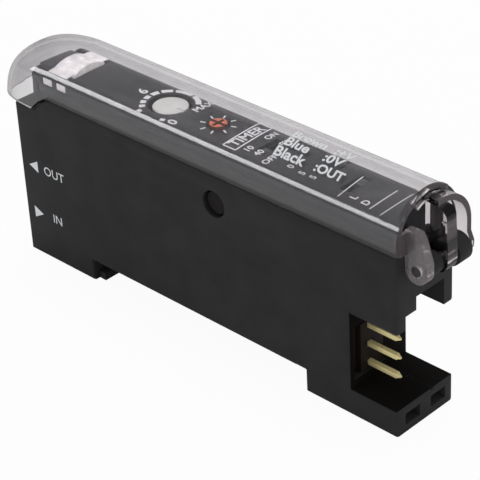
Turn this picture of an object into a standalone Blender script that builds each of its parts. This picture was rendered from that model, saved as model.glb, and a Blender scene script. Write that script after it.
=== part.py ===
"""Slim fibre optic sensor amplifier for a 35 mm rail, modelled piece by piece.

Row frame: the origin is the middle of the face that sits on the rail, X runs
from the fibre end to the connector end, Y across the slim width, Z up. Pieces
are drawn with X = 0 at the fibre end face and Y = 0 at the near side, and the
last step moves them all into the row frame. Lengths are in metres.
"""

import math

import bmesh
import bpy
from mathutils import Matrix, Vector

MM = 0.001

# Clearances
SEAT_GAP = 0.3 * MM          # between pieces that rest on or beside each other
RUN_GAP = 0.05 * MM          # radial, between a shaft and its hole
SLIDE_GAP = 0.15 * MM        # between a slider and its guide

# Housing
BODY_LENGTH = 60.6 * MM
BODY_WIDTH = 9.6 * MM
JOINT_HEIGHT = 20.75 * MM    # lower edge of the cover
WALL = 1.0 * MM
TOP_WALL = 1.2 * MM
EDGE_ROUND = 0.35 * MM
LID_THICKNESS = 1.0 * MM
LID_LEDGE = 0.8 * MM

# Rail seat
RAIL_GAP = 35.4 * MM
FRONT_FOOT_SHARE = 0.4683    # of the length beside the rail gap
FOOT_LENGTH = FRONT_FOOT_SHARE * (BODY_LENGTH - RAIL_GAP)
FOOT_DROP = 2.9 * MM
HOOK_REACH = 1.1 * MM
HOOK_HEIGHT = 1.0 * MM
HOOK_INSET = 0.9 * MM
SEAT_RELIEF = 0.15 * MM      # the seat steps up beside each foot

# Connector end
CAVITY_DEPTH = 6.55 * MM
PLATFORM_TOP = 0.6 * MM
CAVITY_TOP = 10.6 * MM
CATCH_TOP = 14.0 * MM        # roof of the recess that the plug's catch enters
CATCH_STEP = 12.3 * MM
CATCH_WALL = 1.6 * MM
CATCH_SHOULDER = 1.8 * MM
SOCKET_WIDTH = 2.45 * MM
SOCKET_HEIGHT = 1.5 * MM
SOCKET_DEPTH = 4.0 * MM
SOCKET_SPACING = 4.3 * MM
SOCKET_FLOOR = 0.95 * MM
PIN_SIZE = 0.6 * MM
PIN_PITCH = 2.5 * MM
PIN_FIRST = 2.5 * MM
PIN_REACH = 4.4 * MM
PIN_COUNT = 3
HEADER_WIDTH = 4.6 * MM
HEADER_DEPTH = 2.6 * MM
HEADER_MARGIN = 1.0 * MM

# Cover
COVER_WALL = 0.7 * MM
COVER_PROUD = 0.3 * MM       # how far the cover stands out beside the housing
COVER_RADIUS = BODY_WIDTH / 2 + COVER_PROUD
ARCH_RISE = 1.05 * MM        # arch centre above the cover's lower edge
TAB_DROP = 2.27 * MM
TAB_LENGTH = 3.36 * MM
TAB_CURVE = 3.5 * MM
NOSE_START = 8.8 * MM        # where the sides begin to draw in
NOSE_LENGTH = 12.1 * MM      # from there to the tip, at the tab's edge
NOSE_SQUARE = 4.4            # exponent of the nose outline seen from above, low down
NOSE_ROUND = 1.9             # the same exponent at the crown
NOSE_LEAN = 2.48             # exponents of the curve that leans back towards the crown
NOSE_FALL = 1.85
COVER_OVERHANG = 0.8 * MM
THUMB_LENGTH = 0.8 * MM
THUMB_ARC = 64               # degrees of the arch that the ridge spans
THUMB_HEIGHT = 0.12 * MM
THUMB_DEPTH = 0.95 * MM
RIM_REACH = 2.4 * MM         # length of the arched rim beyond the housing end
RIM_START = 100              # degrees from the far side up to where the rim begins

# Cover hinge
HINGE_OFFSET = 1.8 * MM      # axis beyond the housing end
HINGE_DROP = 1.85 * MM       # axis below the cover's lower edge
HINGE_PIN_RADIUS = 0.6 * MM
LOBE_RADIUS = 1.5 * MM
NEAR_ARM = 1.1 * MM          # thickness of the cover's near arm
MIDDLE_LUG = 1.6 * MM
CENTRE_ARM = 1.6 * MM
FAR_LUG_RADIUS = 1.7 * MM
MIDDLE_LUG_RADIUS = 1.25 * MM
ARM_TOP = 2.75 * MM          # above the cover's lower edge
CENTRE_ARM_NECK = 1.3 * MM   # how far the centre arm reaches beyond the axis

# Operation panel
PANEL_WIDTH = 0.75 * BODY_WIDTH
PANEL_RISE = 2.85 * MM       # above the cover's lower edge
PANEL_TOP = JOINT_HEIGHT + PANEL_RISE
PANEL_THICKNESS = 0.8 * MM
SKIRT = 0.6 * MM
CHEEK = 0.8 * MM
CHEEK_START = 2.8 * MM
CHEEK_SLOPE = 1.0 * MM       # length of the slope on each cheek's front corner
DECK_START = 9.9 * MM
BULKHEAD = 0.8 * MM
ARCH_CLEARANCE = 0.5 * MM    # under the cover's arch
BULKHEAD_RADIUS = COVER_RADIUS - COVER_WALL - ARCH_CLEARANCE

# Indicator lens
LENS_START = 5.7 * MM
LENS_LENGTH = DECK_START - LENS_START - 2 * SEAT_GAP
LENS_WIDTH = PANEL_WIDTH - 2 * CHEEK - 2 * SEAT_GAP
LENS_PROUD = 0.6 * MM        # crown above the panel
LENS_SAG = 0.7 * MM          # rise of its arch
WING_THICKNESS = 0.5 * MM
WING_LENGTH = 1.1 * MM
WINDOW_LENGTH = 1.7 * MM
WINDOW_HEIGHT = 0.95 * MM

# Fibre ports and holder
FIBRE_OUT_HEIGHT = 10.0 * MM
FIBRE_IN_HEIGHT = 3.4 * MM
FIBRE_BORE = 1.2 * MM
PORT_RADIUS = 1.35 * MM
HOLDER_LENGTH = 13.0 * MM
HOLDER_MARGIN = 2.2 * MM
BORE_DEPTH = 8.8 * MM
OPTIC_RADIUS = 1.4 * MM
OPTIC_LENGTH = 2.4 * MM
LEAD_RADIUS = 0.2 * MM
LEAD_SPREAD = 1.27 * MM
RING_RADIUS = 1.4 * MM
RING_SECTION = 0.25 * MM

# Fibre lock
LEVER_X = 4.4 * MM
LEVER_RISE = 0.35 * MM       # pivot above the cover's lower edge
LEVER_HEIGHT = JOINT_HEIGHT + LEVER_RISE
LEVER_HUB = 1.2 * MM
LEVER_CAM = 0.4 * MM
LEVER_AXLE = 0.5 * MM
LEVER_WIDTH = 0.417 * PANEL_WIDTH
LEVER_BAR_WIDTH = PANEL_WIDTH - 2 * CHEEK - 2 * SEAT_GAP
LEVER_BAR_LENGTH = 2.4 * MM
LEVER_BAR_HEIGHT = 0.6 * MM
LEVER_BAR_BACK = 1.3 * MM    # from the bar's front edge to the pivot
LEVER_BAR_TOP = 0.1 * MM     # bar below the panel's top
CLAMP_THICKNESS = 1.2 * MM
CLAMP_WIDTH = PANEL_WIDTH - 2.8 * MM
CLAMP_TRAVEL = 0.3 * MM

# Boards
BOARD_THICKNESS = 1.0 * MM
BOARD_BOTTOM = 2.0 * MM
STANDOFF = 1.0 * MM
STANDOFF_RADIUS = 1.0 * MM
PANEL_BOARD_THICKNESS = 0.7 * MM
SLOT_WIDTH = PANEL_WIDTH - 2.0 * MM
COMPONENT_GAP = 0.1 * MM     # under parts that are soldered on
CAN_HEIGHT = 2.4 * MM
CHIP_HEIGHT = 1.0 * MM
LINK_PART_SIZE = 2.2 * MM

# Sensitivity adjuster, gear train and dial
MODULE = PANEL_WIDTH / 36
ADJUSTER_TEETH = 8
IDLER_LARGE_TEETH = 26
IDLER_SMALL_TEETH = 17
DIAL_TEETH = 26
GEAR_THICKNESS = 0.6 * MM
ADJUSTER_X = 0.5083 * BODY_LENGTH
ADJUSTER_RADIUS = 1.15 * MM
ADJUSTER_HOLE = 1.4 * MM
ADJUSTER_SHAFT = 0.42 * MM
ADJUSTER_PROUD = 0.25 * MM
DRIVE_SLOT = 0.4 * MM
DIAL_HOLE = 0.368 * PANEL_WIDTH
DIAL_RADIUS = DIAL_HOLE - 0.55 * MM
DIAL_RECESS = 0.2 * MM
DIAL_THICKNESS = 0.5 * MM
DIAL_HUB = 0.9 * MM
POST_RADIUS = 0.35 * MM
TRIMMER_SIZE = 3.0 * MM
TRIMMER_HEIGHT = 1.9 * MM

# Slide switches
TIMER_X = 0.6403 * BODY_LENGTH
MODE_X = 0.8465 * BODY_LENGTH
SWITCH_SLOT_LENGTH = 0.5 * PANEL_WIDTH
SWITCH_SLOT_WIDTH = 1.5 * MM
KNOB_WIDTH = 1.0 * MM
KNOB_LENGTH = 1.3 * MM
SWITCH_LENGTH = 3.2 * MM
SWITCH_WIDTH = SLOT_WIDTH - 0.6 * MM
SWITCH_HEIGHT = 0.7 * MM
SWITCH_TRAVEL = SWITCH_SLOT_LENGTH - KNOB_LENGTH - 0.5 * MM

# Optical link windows
LINK_X = 0.561 * BODY_LENGTH
LINK_DROP = 4.05 * MM
LINK_HEIGHT = JOINT_HEIGHT - LINK_DROP
LINK_RADIUS = 1.7 * MM

# Rail latch
LATCH_WIDTH = 0.604 * BODY_WIDTH
LATCH_LENGTH = 0.4627 * (BODY_LENGTH - RAIL_GAP - FOOT_LENGTH)
LATCH_NOSE = 0.9 * MM
LATCH_FLANGE = 0.7 * MM
LATCH_TRAVEL = 1.0 * MM
LATCH_CEILING = 0.4 * MM
LATCH_POCKET_WALL = 1.0 * MM

# Places that follow from the sizes above
MID_Y = BODY_WIDTH / 2
COVER_AXIS_Z = JOINT_HEIGHT + ARCH_RISE
CASE_TOP = JOINT_HEIGHT - SEAT_GAP
REAR_FOOT_X = FOOT_LENGTH + RAIL_GAP
CAVITY_X = BODY_LENGTH - CAVITY_DEPTH
PANEL_NEAR = MID_Y - PANEL_WIDTH / 2
PANEL_FAR = MID_Y + PANEL_WIDTH / 2
DECK_UNDER = PANEL_TOP - PANEL_THICKNESS
COVER_END = BODY_LENGTH + COVER_OVERHANG
HINGE_X = BODY_LENGTH + HINGE_OFFSET
HINGE_Z = JOINT_HEIGHT - HINGE_DROP
NEAR_ARM_Y = PANEL_NEAR
MIDDLE_LUG_Y = NEAR_ARM_Y + NEAR_ARM + SEAT_GAP
CENTRE_ARM_Y = MIDDLE_LUG_Y + MIDDLE_LUG + SEAT_GAP
FAR_LUG_Y = CENTRE_ARM_Y + CENTRE_ARM + SEAT_GAP
LID_SEAT = BODY_WIDTH - LID_THICKNESS - SEAT_GAP
SLOT_START = LENS_START + 1.5 * MM
SLOT_MARGIN = 3.0 * MM
SLOT_END = BODY_LENGTH - SLOT_MARGIN
PANEL_BOARD_TOP = CASE_TOP + 0.15 * MM
PANEL_BOARD_BOTTOM = PANEL_BOARD_TOP - PANEL_BOARD_THICKNESS
HOLDER_X = WALL + 0.5 * MM
HOLDER_TOP = FIBRE_OUT_HEIGHT + HOLDER_MARGIN + 0.3 * MM
HOLDER_BOTTOM = WALL + SEAT_GAP
ROOM_END = CAVITY_X - WALL - LID_LEDGE
ROOM_TOP = CASE_TOP - TOP_WALL - WALL / 2 - LID_LEDGE
BOARD_START = WALL + LID_LEDGE + HOLDER_LENGTH + WALL
BOARD_LENGTH = ROOM_END - LID_LEDGE - BOARD_START
BOARD_TOP = ROOM_TOP - SLIDE_GAP
BOARD_HEIGHT = BOARD_TOP - BOARD_BOTTOM
CAPACITOR_RADIUS = (LID_SEAT - WALL - STANDOFF - BOARD_THICKNESS - COMPONENT_GAP - 3 * SEAT_GAP) / 2
BOARD_NEAR = WALL + STANDOFF
BOARD_FAR = BOARD_NEAR + BOARD_THICKNESS
PIN_ROW = BOARD_FAR + COMPONENT_GAP + PIN_SIZE / 2
UPPER_GEAR_Z = DECK_UNDER - SEAT_GAP - GEAR_THICKNESS
LOWER_GEAR_Z = UPPER_GEAR_Z - SEAT_GAP - GEAR_THICKNESS
IDLER_X = ADJUSTER_X - MODULE * (ADJUSTER_TEETH + IDLER_LARGE_TEETH) / 2
DIAL_X = IDLER_X - MODULE * (IDLER_SMALL_TEETH + DIAL_TEETH) / 2

SMOOTH_ANGLE = math.radians(35)
ROUND_SEGMENTS = 32

PARTS = "fibre_amplifier"
CUTTERS = "cutters"


def clear_scene():
    """Remove every object and make the two collections."""
    for item in list(bpy.data.objects):
        bpy.data.objects.remove(item, do_unlink=True)
    for title in (PARTS, CUTTERS):
        group = bpy.data.collections.new(title)
        bpy.context.scene.collection.children.link(group)


def material(name, colour, roughness, metallic=0.0, alpha=1.0):
    """Make a Principled material."""
    finish = bpy.data.materials.new(name)
    finish.use_nodes = True
    shader = finish.node_tree.nodes["Principled BSDF"]
    shader.inputs["Base Color"].default_value = (*colour, 1.0)
    shader.inputs["Roughness"].default_value = roughness
    shader.inputs["Metallic"].default_value = metallic
    shader.inputs["Alpha"].default_value = alpha
    finish.diffuse_color = (*colour, alpha)
    return finish


def new_object(name, mesh, group=PARTS, finish=None):
    """Link a mesh object into its collection."""
    item = bpy.data.objects.new(name, mesh)
    bpy.data.collections[group].objects.link(item)
    if group == CUTTERS:
        item.hide_render = True
        item.display_type = "WIRE"
    if finish:
        item.data.materials.append(finish)
    return item


def mesh_from(bm, name):
    """Turn a bmesh into a mesh with outward faces."""
    bmesh.ops.recalc_face_normals(bm, faces=bm.faces)
    mesh = bpy.data.meshes.new(name)
    bm.to_mesh(mesh)
    bm.free()
    return mesh


def box(name, low, high, group=PARTS, finish=None, bevel=0.0, edges="all"):
    """A block between two corners, its edges rounded if asked.

    edges is all, or the axis letter that the rounded edges run along.
    """
    low, high = Vector(low), Vector(high)
    size, middle = high - low, (high + low) / 2
    bm = bmesh.new()
    placing = Matrix.Translation(middle) @ Matrix.Diagonal((*size, 1.0))
    bmesh.ops.create_cube(bm, size=1.0, matrix=placing)
    if bevel > 0:
        chosen = bm.edges[:]
        if edges != "all":
            axis = "XYZ".index(edges)
            chosen = [e for e in bm.edges
                      if abs((e.verts[0].co - e.verts[1].co).normalized()[axis]) > 0.9]
        bmesh.ops.bevel(bm, geom=chosen, offset=bevel, segments=2, profile=0.5,
                        affect="EDGES", clamp_overlap=True)
    return new_object(name, mesh_from(bm, name), group, finish)


def cylinder(name, start, length, radius, axis="Z", group=PARTS, finish=None,
             end_radius=None, segments=ROUND_SEGMENTS):
    """A round bar or cone from start along +axis."""
    turn = {"Z": Matrix.Identity(4),
            "X": Matrix.Rotation(math.radians(90), 4, "Y"),
            "Y": Matrix.Rotation(math.radians(-90), 4, "X")}[axis]
    placing = Matrix.Translation(Vector(start)) @ turn @ Matrix.Translation((0, 0, length / 2))
    bm = bmesh.new()
    bmesh.ops.create_cone(bm, cap_ends=True, cap_tris=False, segments=segments,
                          radius1=radius, radius2=radius if end_radius is None else end_radius,
                          depth=length, matrix=placing)
    item = new_object(name, mesh_from(bm, name), group, finish)
    smooth(item)
    return item


def smooth(item):
    """Shade an object smooth with its true edges kept sharp."""
    item.data.shade_smooth()
    item.data.set_sharp_from_angle(angle=SMOOTH_ANGLE)


PLANES = {
    "XZ": lambda start, depth: Matrix.Translation((0, start + depth / 2, 0))
    @ Matrix.Rotation(math.radians(90), 4, "X"),
    "YZ": lambda start, depth: Matrix.Translation((start + depth / 2, 0, 0))
    @ Matrix.Rotation(math.radians(90), 4, "Z") @ Matrix.Rotation(math.radians(90), 4, "X"),
    "XY": lambda start, depth: Matrix.Translation((0, 0, start + depth / 2)),
}


def profile(name, points, plane, start, depth, group=PARTS, finish=None, bevel=0.0):
    """A flat outline in one plane, given thickness from start to start + depth."""
    curve = bpy.data.curves.new(name, "CURVE")
    curve.dimensions = "2D"
    curve.fill_mode = "BOTH"
    curve.extrude = depth / 2 - bevel
    curve.bevel_depth = bevel
    curve.bevel_resolution = 1
    curve.offset = -bevel
    spline = curve.splines.new("POLY")
    spline.points.add(len(points) - 1)
    for point, (across, up) in zip(spline.points, points):
        point.co = (across, up, 0, 1)
    spline.use_cyclic_u = True
    outline = bpy.data.objects.new(name + "_outline", curve)
    outline.matrix_world = PLANES[plane](start, depth)
    bpy.context.scene.collection.objects.link(outline)
    bpy.context.view_layer.update()
    evaluated = outline.evaluated_get(bpy.context.evaluated_depsgraph_get())
    mesh = bpy.data.meshes.new_from_object(evaluated)
    mesh.transform(outline.matrix_world)
    bpy.data.objects.remove(outline, do_unlink=True)
    bm = bmesh.new()
    bm.from_mesh(mesh)
    bpy.data.meshes.remove(mesh)
    bmesh.ops.remove_doubles(bm, verts=bm.verts, dist=0.002 * MM)
    bmesh.ops.dissolve_degenerate(bm, dist=0.001 * MM, edges=bm.edges)
    return new_object(name, mesh_from(bm, name), group, finish)


def arc(centre, radius, start, end, steps):
    """Points on an arc, angles in degrees."""
    return [(centre[0] + radius * math.cos(math.radians(start + (end - start) * k / steps)),
             centre[1] + radius * math.sin(math.radians(start + (end - start) * k / steps)))
            for k in range(steps + 1)]


def boolean(target, tool, operation="DIFFERENCE"):
    """Cut, join or intersect with an exact Boolean."""
    change = target.modifiers.new(operation.lower() + "_" + tool.name, "BOOLEAN")
    change.operation = operation
    change.solver = "EXACT"
    change.object = tool


def cut(target, *tools):
    """Take each tool out of the target."""
    for tool in tools:
        boolean(target, tool)


def join(target, *tools):
    """Add each tool to the target."""
    for tool in tools:
        boolean(target, tool, "UNION")


def cut_box(target, name, low, high):
    """Take a block out of the target."""
    cut(target, box(name, low, high, CUTTERS))


def cut_hole(target, name, start, length, radius, axis):
    """Drill the target."""
    cut(target, cylinder(name, start, length, radius, axis, CUTTERS))


def tab_edge(drop=0.0, steps=8):
    """The cover's lower edge at the fibre end, from the tab up to the straight part."""
    low = JOINT_HEIGHT - TAB_DROP - drop
    points = [(0.0, low)]
    for k in range(steps + 1):
        part = k / steps
        points.append((TAB_LENGTH + TAB_CURVE * part,
                       low + TAB_DROP * math.sin(math.radians(90 * part))))
    return points


def edge_height(x):
    """Height of the cover's lower edge at one place along the body."""
    if x <= TAB_LENGTH:
        return JOINT_HEIGHT - TAB_DROP
    part = min(1.0, (x - TAB_LENGTH) / TAB_CURVE)
    return JOINT_HEIGHT - TAB_DROP + TAB_DROP * math.sin(math.radians(90 * part))


def gear_outline(centre, teeth, phase=0.0, slack=0.04 * MM):
    """Outline of a spur gear as seen from above, thinned by slack for free running."""
    pitch = MODULE * teeth / 2
    tip, root = pitch + 0.85 * MODULE, pitch - 1.15 * MODULE
    half = math.pi / (2 * teeth)
    thin = slack / pitch
    points = []
    for tooth in range(teeth):
        middle = phase + 2 * math.pi * tooth / teeth
        for radius, spread in ((root, half * 1.45), (pitch, half - thin), (tip, half * 0.42)):
            points.append((radius, middle - spread))
        for radius, spread in ((tip, half * 0.42), (pitch, half - thin), (root, half * 1.45)):
            points.append((radius, middle + spread))
    return [(centre[0] + r * math.cos(a), centre[1] + r * math.sin(a)) for r, a in points]


def build_case(finish):
    """Near half of the housing: side, ends, rail feet, platform and connector cavity."""
    outline = [(0, -FOOT_DROP), (FOOT_LENGTH, -FOOT_DROP), (FOOT_LENGTH, 0),
               (REAR_FOOT_X, 0), (REAR_FOOT_X, -FOOT_DROP), (BODY_LENGTH, -FOOT_DROP),
               (BODY_LENGTH, PLATFORM_TOP), (CAVITY_X, PLATFORM_TOP),
               (CAVITY_X, CAVITY_TOP), (BODY_LENGTH, CAVITY_TOP),
               (BODY_LENGTH, CASE_TOP)]
    outline += reversed(tab_edge(drop=SEAT_GAP))
    case = profile("case_body", outline, "XZ", 0, BODY_WIDTH, finish=finish, bevel=EDGE_ROUND)

    hook = box("front_hook", (FOOT_LENGTH - WALL, HOOK_INSET, -FOOT_DROP),
               (FOOT_LENGTH + HOOK_REACH, BODY_WIDTH - HOOK_INSET, HOOK_HEIGHT - FOOT_DROP), CUTTERS)
    join(case, hook)
    for title, low, high in (
            ("front", FOOT_LENGTH, FOOT_LENGTH + HOOK_REACH + SEAT_GAP),
            ("rear", REAR_FOOT_X - LATCH_NOSE - 2 * SEAT_GAP, REAR_FOOT_X)):
        cut_box(case, title + "_seat_relief", (low, -WALL, -SEAT_RELIEF),
                (high, BODY_WIDTH + WALL, SEAT_RELIEF))
    for title, y, width, radius in (
            ("middle", MIDDLE_LUG_Y, MIDDLE_LUG, MIDDLE_LUG_RADIUS),
            ("far", FAR_LUG_Y, PANEL_FAR - FAR_LUG_Y, FAR_LUG_RADIUS)):
        lug = cylinder(title + "_lug", (HINGE_X, y, HINGE_Z), width, radius, "Y", CUTTERS)
        root = box(title + "_lug_root", (BODY_LENGTH - WALL, y, HINGE_Z - radius),
                   (HINGE_X, y + width, HINGE_Z + 0.35 * radius), CUTTERS)
        join(case, lug, root)
    cut_hole(case, "hinge_lug_bore", (HINGE_X, 0, HINGE_Z), BODY_WIDTH,
             HINGE_PIN_RADIUS + RUN_GAP, "Y")

    room_low, room_high = WALL + LID_LEDGE, ROOM_END
    room_top = CASE_TOP - TOP_WALL
    cut(case, profile("lid_recess", lid_outline(0.0), "XZ", LID_SEAT, LID_THICKNESS + WALL,
                      CUTTERS))
    cut_box(case, "room_low", (HOLDER_X - SEAT_GAP, WALL, WALL),
            (room_low + HOLDER_LENGTH, BODY_WIDTH, HOLDER_TOP + SEAT_GAP))
    cut_box(case, "room_main", (room_low + HOLDER_LENGTH - WALL, WALL, WALL + LID_LEDGE / 2),
            (room_high, BODY_WIDTH, ROOM_TOP))
    cut_box(case, "panel_slot", (SLOT_START, MID_Y - SLOT_WIDTH / 2, room_top - 3 * WALL),
            (SLOT_END, MID_Y + SLOT_WIDTH / 2, CASE_TOP + WALL))
    cut_box(case, "lever_well",
            (LEVER_X - LEVER_HUB - SEAT_GAP, MID_Y - CLAMP_WIDTH / 2 - SEAT_GAP, HOLDER_TOP - WALL),
            (LEVER_X + LEVER_HUB + LEVER_CAM + SEAT_GAP, MID_Y + CLAMP_WIDTH / 2 + SEAT_GAP,
             CASE_TOP + WALL))

    for k, (x, z) in enumerate(standoff_places()):
        boss = cylinder("board_boss_%d" % (k + 1), (x, WALL - 0.2 * MM, z),
                        STANDOFF - SEAT_GAP + 0.2 * MM, STANDOFF_RADIUS, "Y", CUTTERS, segments=20)
        join(case, boss)

    cut_box(case, "catch_recess_high", (CAVITY_X + WALL, CATCH_WALL + CATCH_SHOULDER, CAVITY_TOP - WALL),
            (BODY_LENGTH + WALL, BODY_WIDTH - CATCH_WALL, CATCH_TOP))
    cut_box(case, "catch_recess_low", (CAVITY_X + WALL, CATCH_WALL, CAVITY_TOP - WALL),
            (BODY_LENGTH + WALL, CATCH_WALL + 2 * CATCH_SHOULDER, CATCH_STEP))
    low, high = header_window()
    cut_box(case, "header_window", (CAVITY_X - 3 * WALL, low[0], low[1]),
            (CAVITY_X + WALL, high[0], high[1]))
    for side, middle in (("near", MID_Y - SOCKET_SPACING / 2 + 0.1 * MM),
                         ("far", MID_Y + SOCKET_SPACING / 2 + 0.1 * MM)):
        cut_box(case, side + "_socket",
                (BODY_LENGTH - SOCKET_DEPTH, middle - SOCKET_WIDTH / 2, SOCKET_FLOOR - FOOT_DROP),
                (BODY_LENGTH + WALL, middle + SOCKET_WIDTH / 2,
                 SOCKET_FLOOR + SOCKET_HEIGHT - FOOT_DROP))
    cut_box(case, "platform_groove", (CAVITY_X + 3 * WALL, MID_Y + WALL, PLATFORM_TOP - 0.3 * MM),
            (BODY_LENGTH + WALL, MID_Y + WALL + 0.35 * MM, PLATFORM_TOP + WALL))

    for title, height in (("out", FIBRE_OUT_HEIGHT), ("in", FIBRE_IN_HEIGHT)):
        cut_hole(case, "port_" + title, (-WALL, MID_Y, height), 3 * WALL, PORT_RADIUS, "X")
    cut_hole(case, "near_link_hole", (LINK_X, -WALL, LINK_HEIGHT), 3 * WALL, LINK_RADIUS, "Y")

    pocket_end = REAR_FOOT_X + LATCH_LENGTH + LATCH_TRAVEL + 2 * SEAT_GAP
    half = LATCH_WIDTH / 2 + SLIDE_GAP
    flange = half + LATCH_FLANGE
    cut_box(case, "latch_pocket", (REAR_FOOT_X - WALL, MID_Y - half, -FOOT_DROP - WALL),
            (pocket_end, MID_Y + half, -LATCH_CEILING))
    cut_box(case, "latch_groove", (REAR_FOOT_X - WALL, MID_Y - flange, latch_flange_low() - SLIDE_GAP),
            (pocket_end, MID_Y + flange, -LATCH_CEILING))
    return case


def latch_flange_low():
    """Underside of the latch's guide flanges."""
    return -LATCH_CEILING - SLIDE_GAP - LATCH_FLANGE


def standoff_places():
    """Where the housing's bosses carry the upright board."""
    inset = 2.0 * MM
    ends = (BOARD_START + inset, BOARD_START + BOARD_LENGTH - inset)
    return [(x, z) for x in ends for z in (BOARD_BOTTOM + inset, BOARD_TOP - inset - 1.0 * MM)]


def header_window():
    """Corners, in Y and Z, of the window that shows the contact block."""
    low = (PIN_ROW - HEADER_WIDTH / 2 - 0.5 * MM, PIN_FIRST - HEADER_MARGIN)
    high = (PIN_ROW + HEADER_WIDTH / 2 + SEAT_GAP,
            PIN_FIRST + PIN_PITCH * (PIN_COUNT - 1) + HEADER_MARGIN)
    return low, high


def lid_outline(gap):
    """Outline of the far side plate, smaller than its recess by a gap all round."""
    low_x, high_x = WALL + gap, CAVITY_X - WALL - gap
    step_x = TAB_LENGTH + TAB_CURVE + WALL + gap
    low_z, high_z = WALL + gap, CASE_TOP - TOP_WALL - WALL / 2 - gap
    step_z = CASE_TOP - TAB_DROP - 0.6 * WALL - gap
    return [(low_x, low_z), (high_x, low_z), (high_x, high_z), (step_x, high_z),
            (step_x, step_z), (low_x, step_z)]


def build_lid(finish):
    """Far side plate, let into the housing."""
    lid = profile("case_side", lid_outline(SEAT_GAP), "XZ", BODY_WIDTH - LID_THICKNESS,
                  LID_THICKNESS, finish=finish)
    cut_hole(lid, "far_link_hole", (LINK_X, BODY_WIDTH - 2 * WALL, LINK_HEIGHT), 3 * WALL,
             LINK_RADIUS, "Y")
    return lid


def cover_rings():
    """Outlines of the cover seen from above, from the tab's edge up to the crown."""
    steps = 20
    tab_low = JOINT_HEIGHT - TAB_DROP
    crown = COVER_AXIS_Z + COVER_RADIUS
    low_steps, arch_steps = 4, 10
    rows = [(COVER_RADIUS, tab_low + (COVER_AXIS_Z - tab_low) * k / low_steps) for k in range(low_steps)]
    for k in range(arch_steps + 1):
        turn = math.radians(90 * k / arch_steps)
        rows.append((COVER_RADIUS * math.cos(turn), COVER_AXIS_Z + COVER_RADIUS * math.sin(turn)))
    levels = []
    for half, z in rows:
        rise = (z - tab_low) / (crown - tab_low)
        reach = NOSE_LENGTH * max(0.0, 1 - rise ** NOSE_LEAN) ** (1 / NOSE_FALL)
        levels.append((half, reach, NOSE_SQUARE + (NOSE_ROUND - NOSE_SQUARE) * rise, z))
    rings = []
    for half, reach, square, z in levels:
        ring = [(COVER_END, MID_Y - half, z)]
        for k in range(steps + 1):
            turn = math.pi * k / steps
            forward = math.sin(turn) ** (2 / square)
            side = math.copysign(abs(math.cos(turn)) ** (2 / square), math.cos(turn))
            ring.append((NOSE_START - reach * forward, MID_Y - half * side, z))
        ring.append((COVER_END, MID_Y + half, z))
        rings.append(ring)
    return rings


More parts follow.
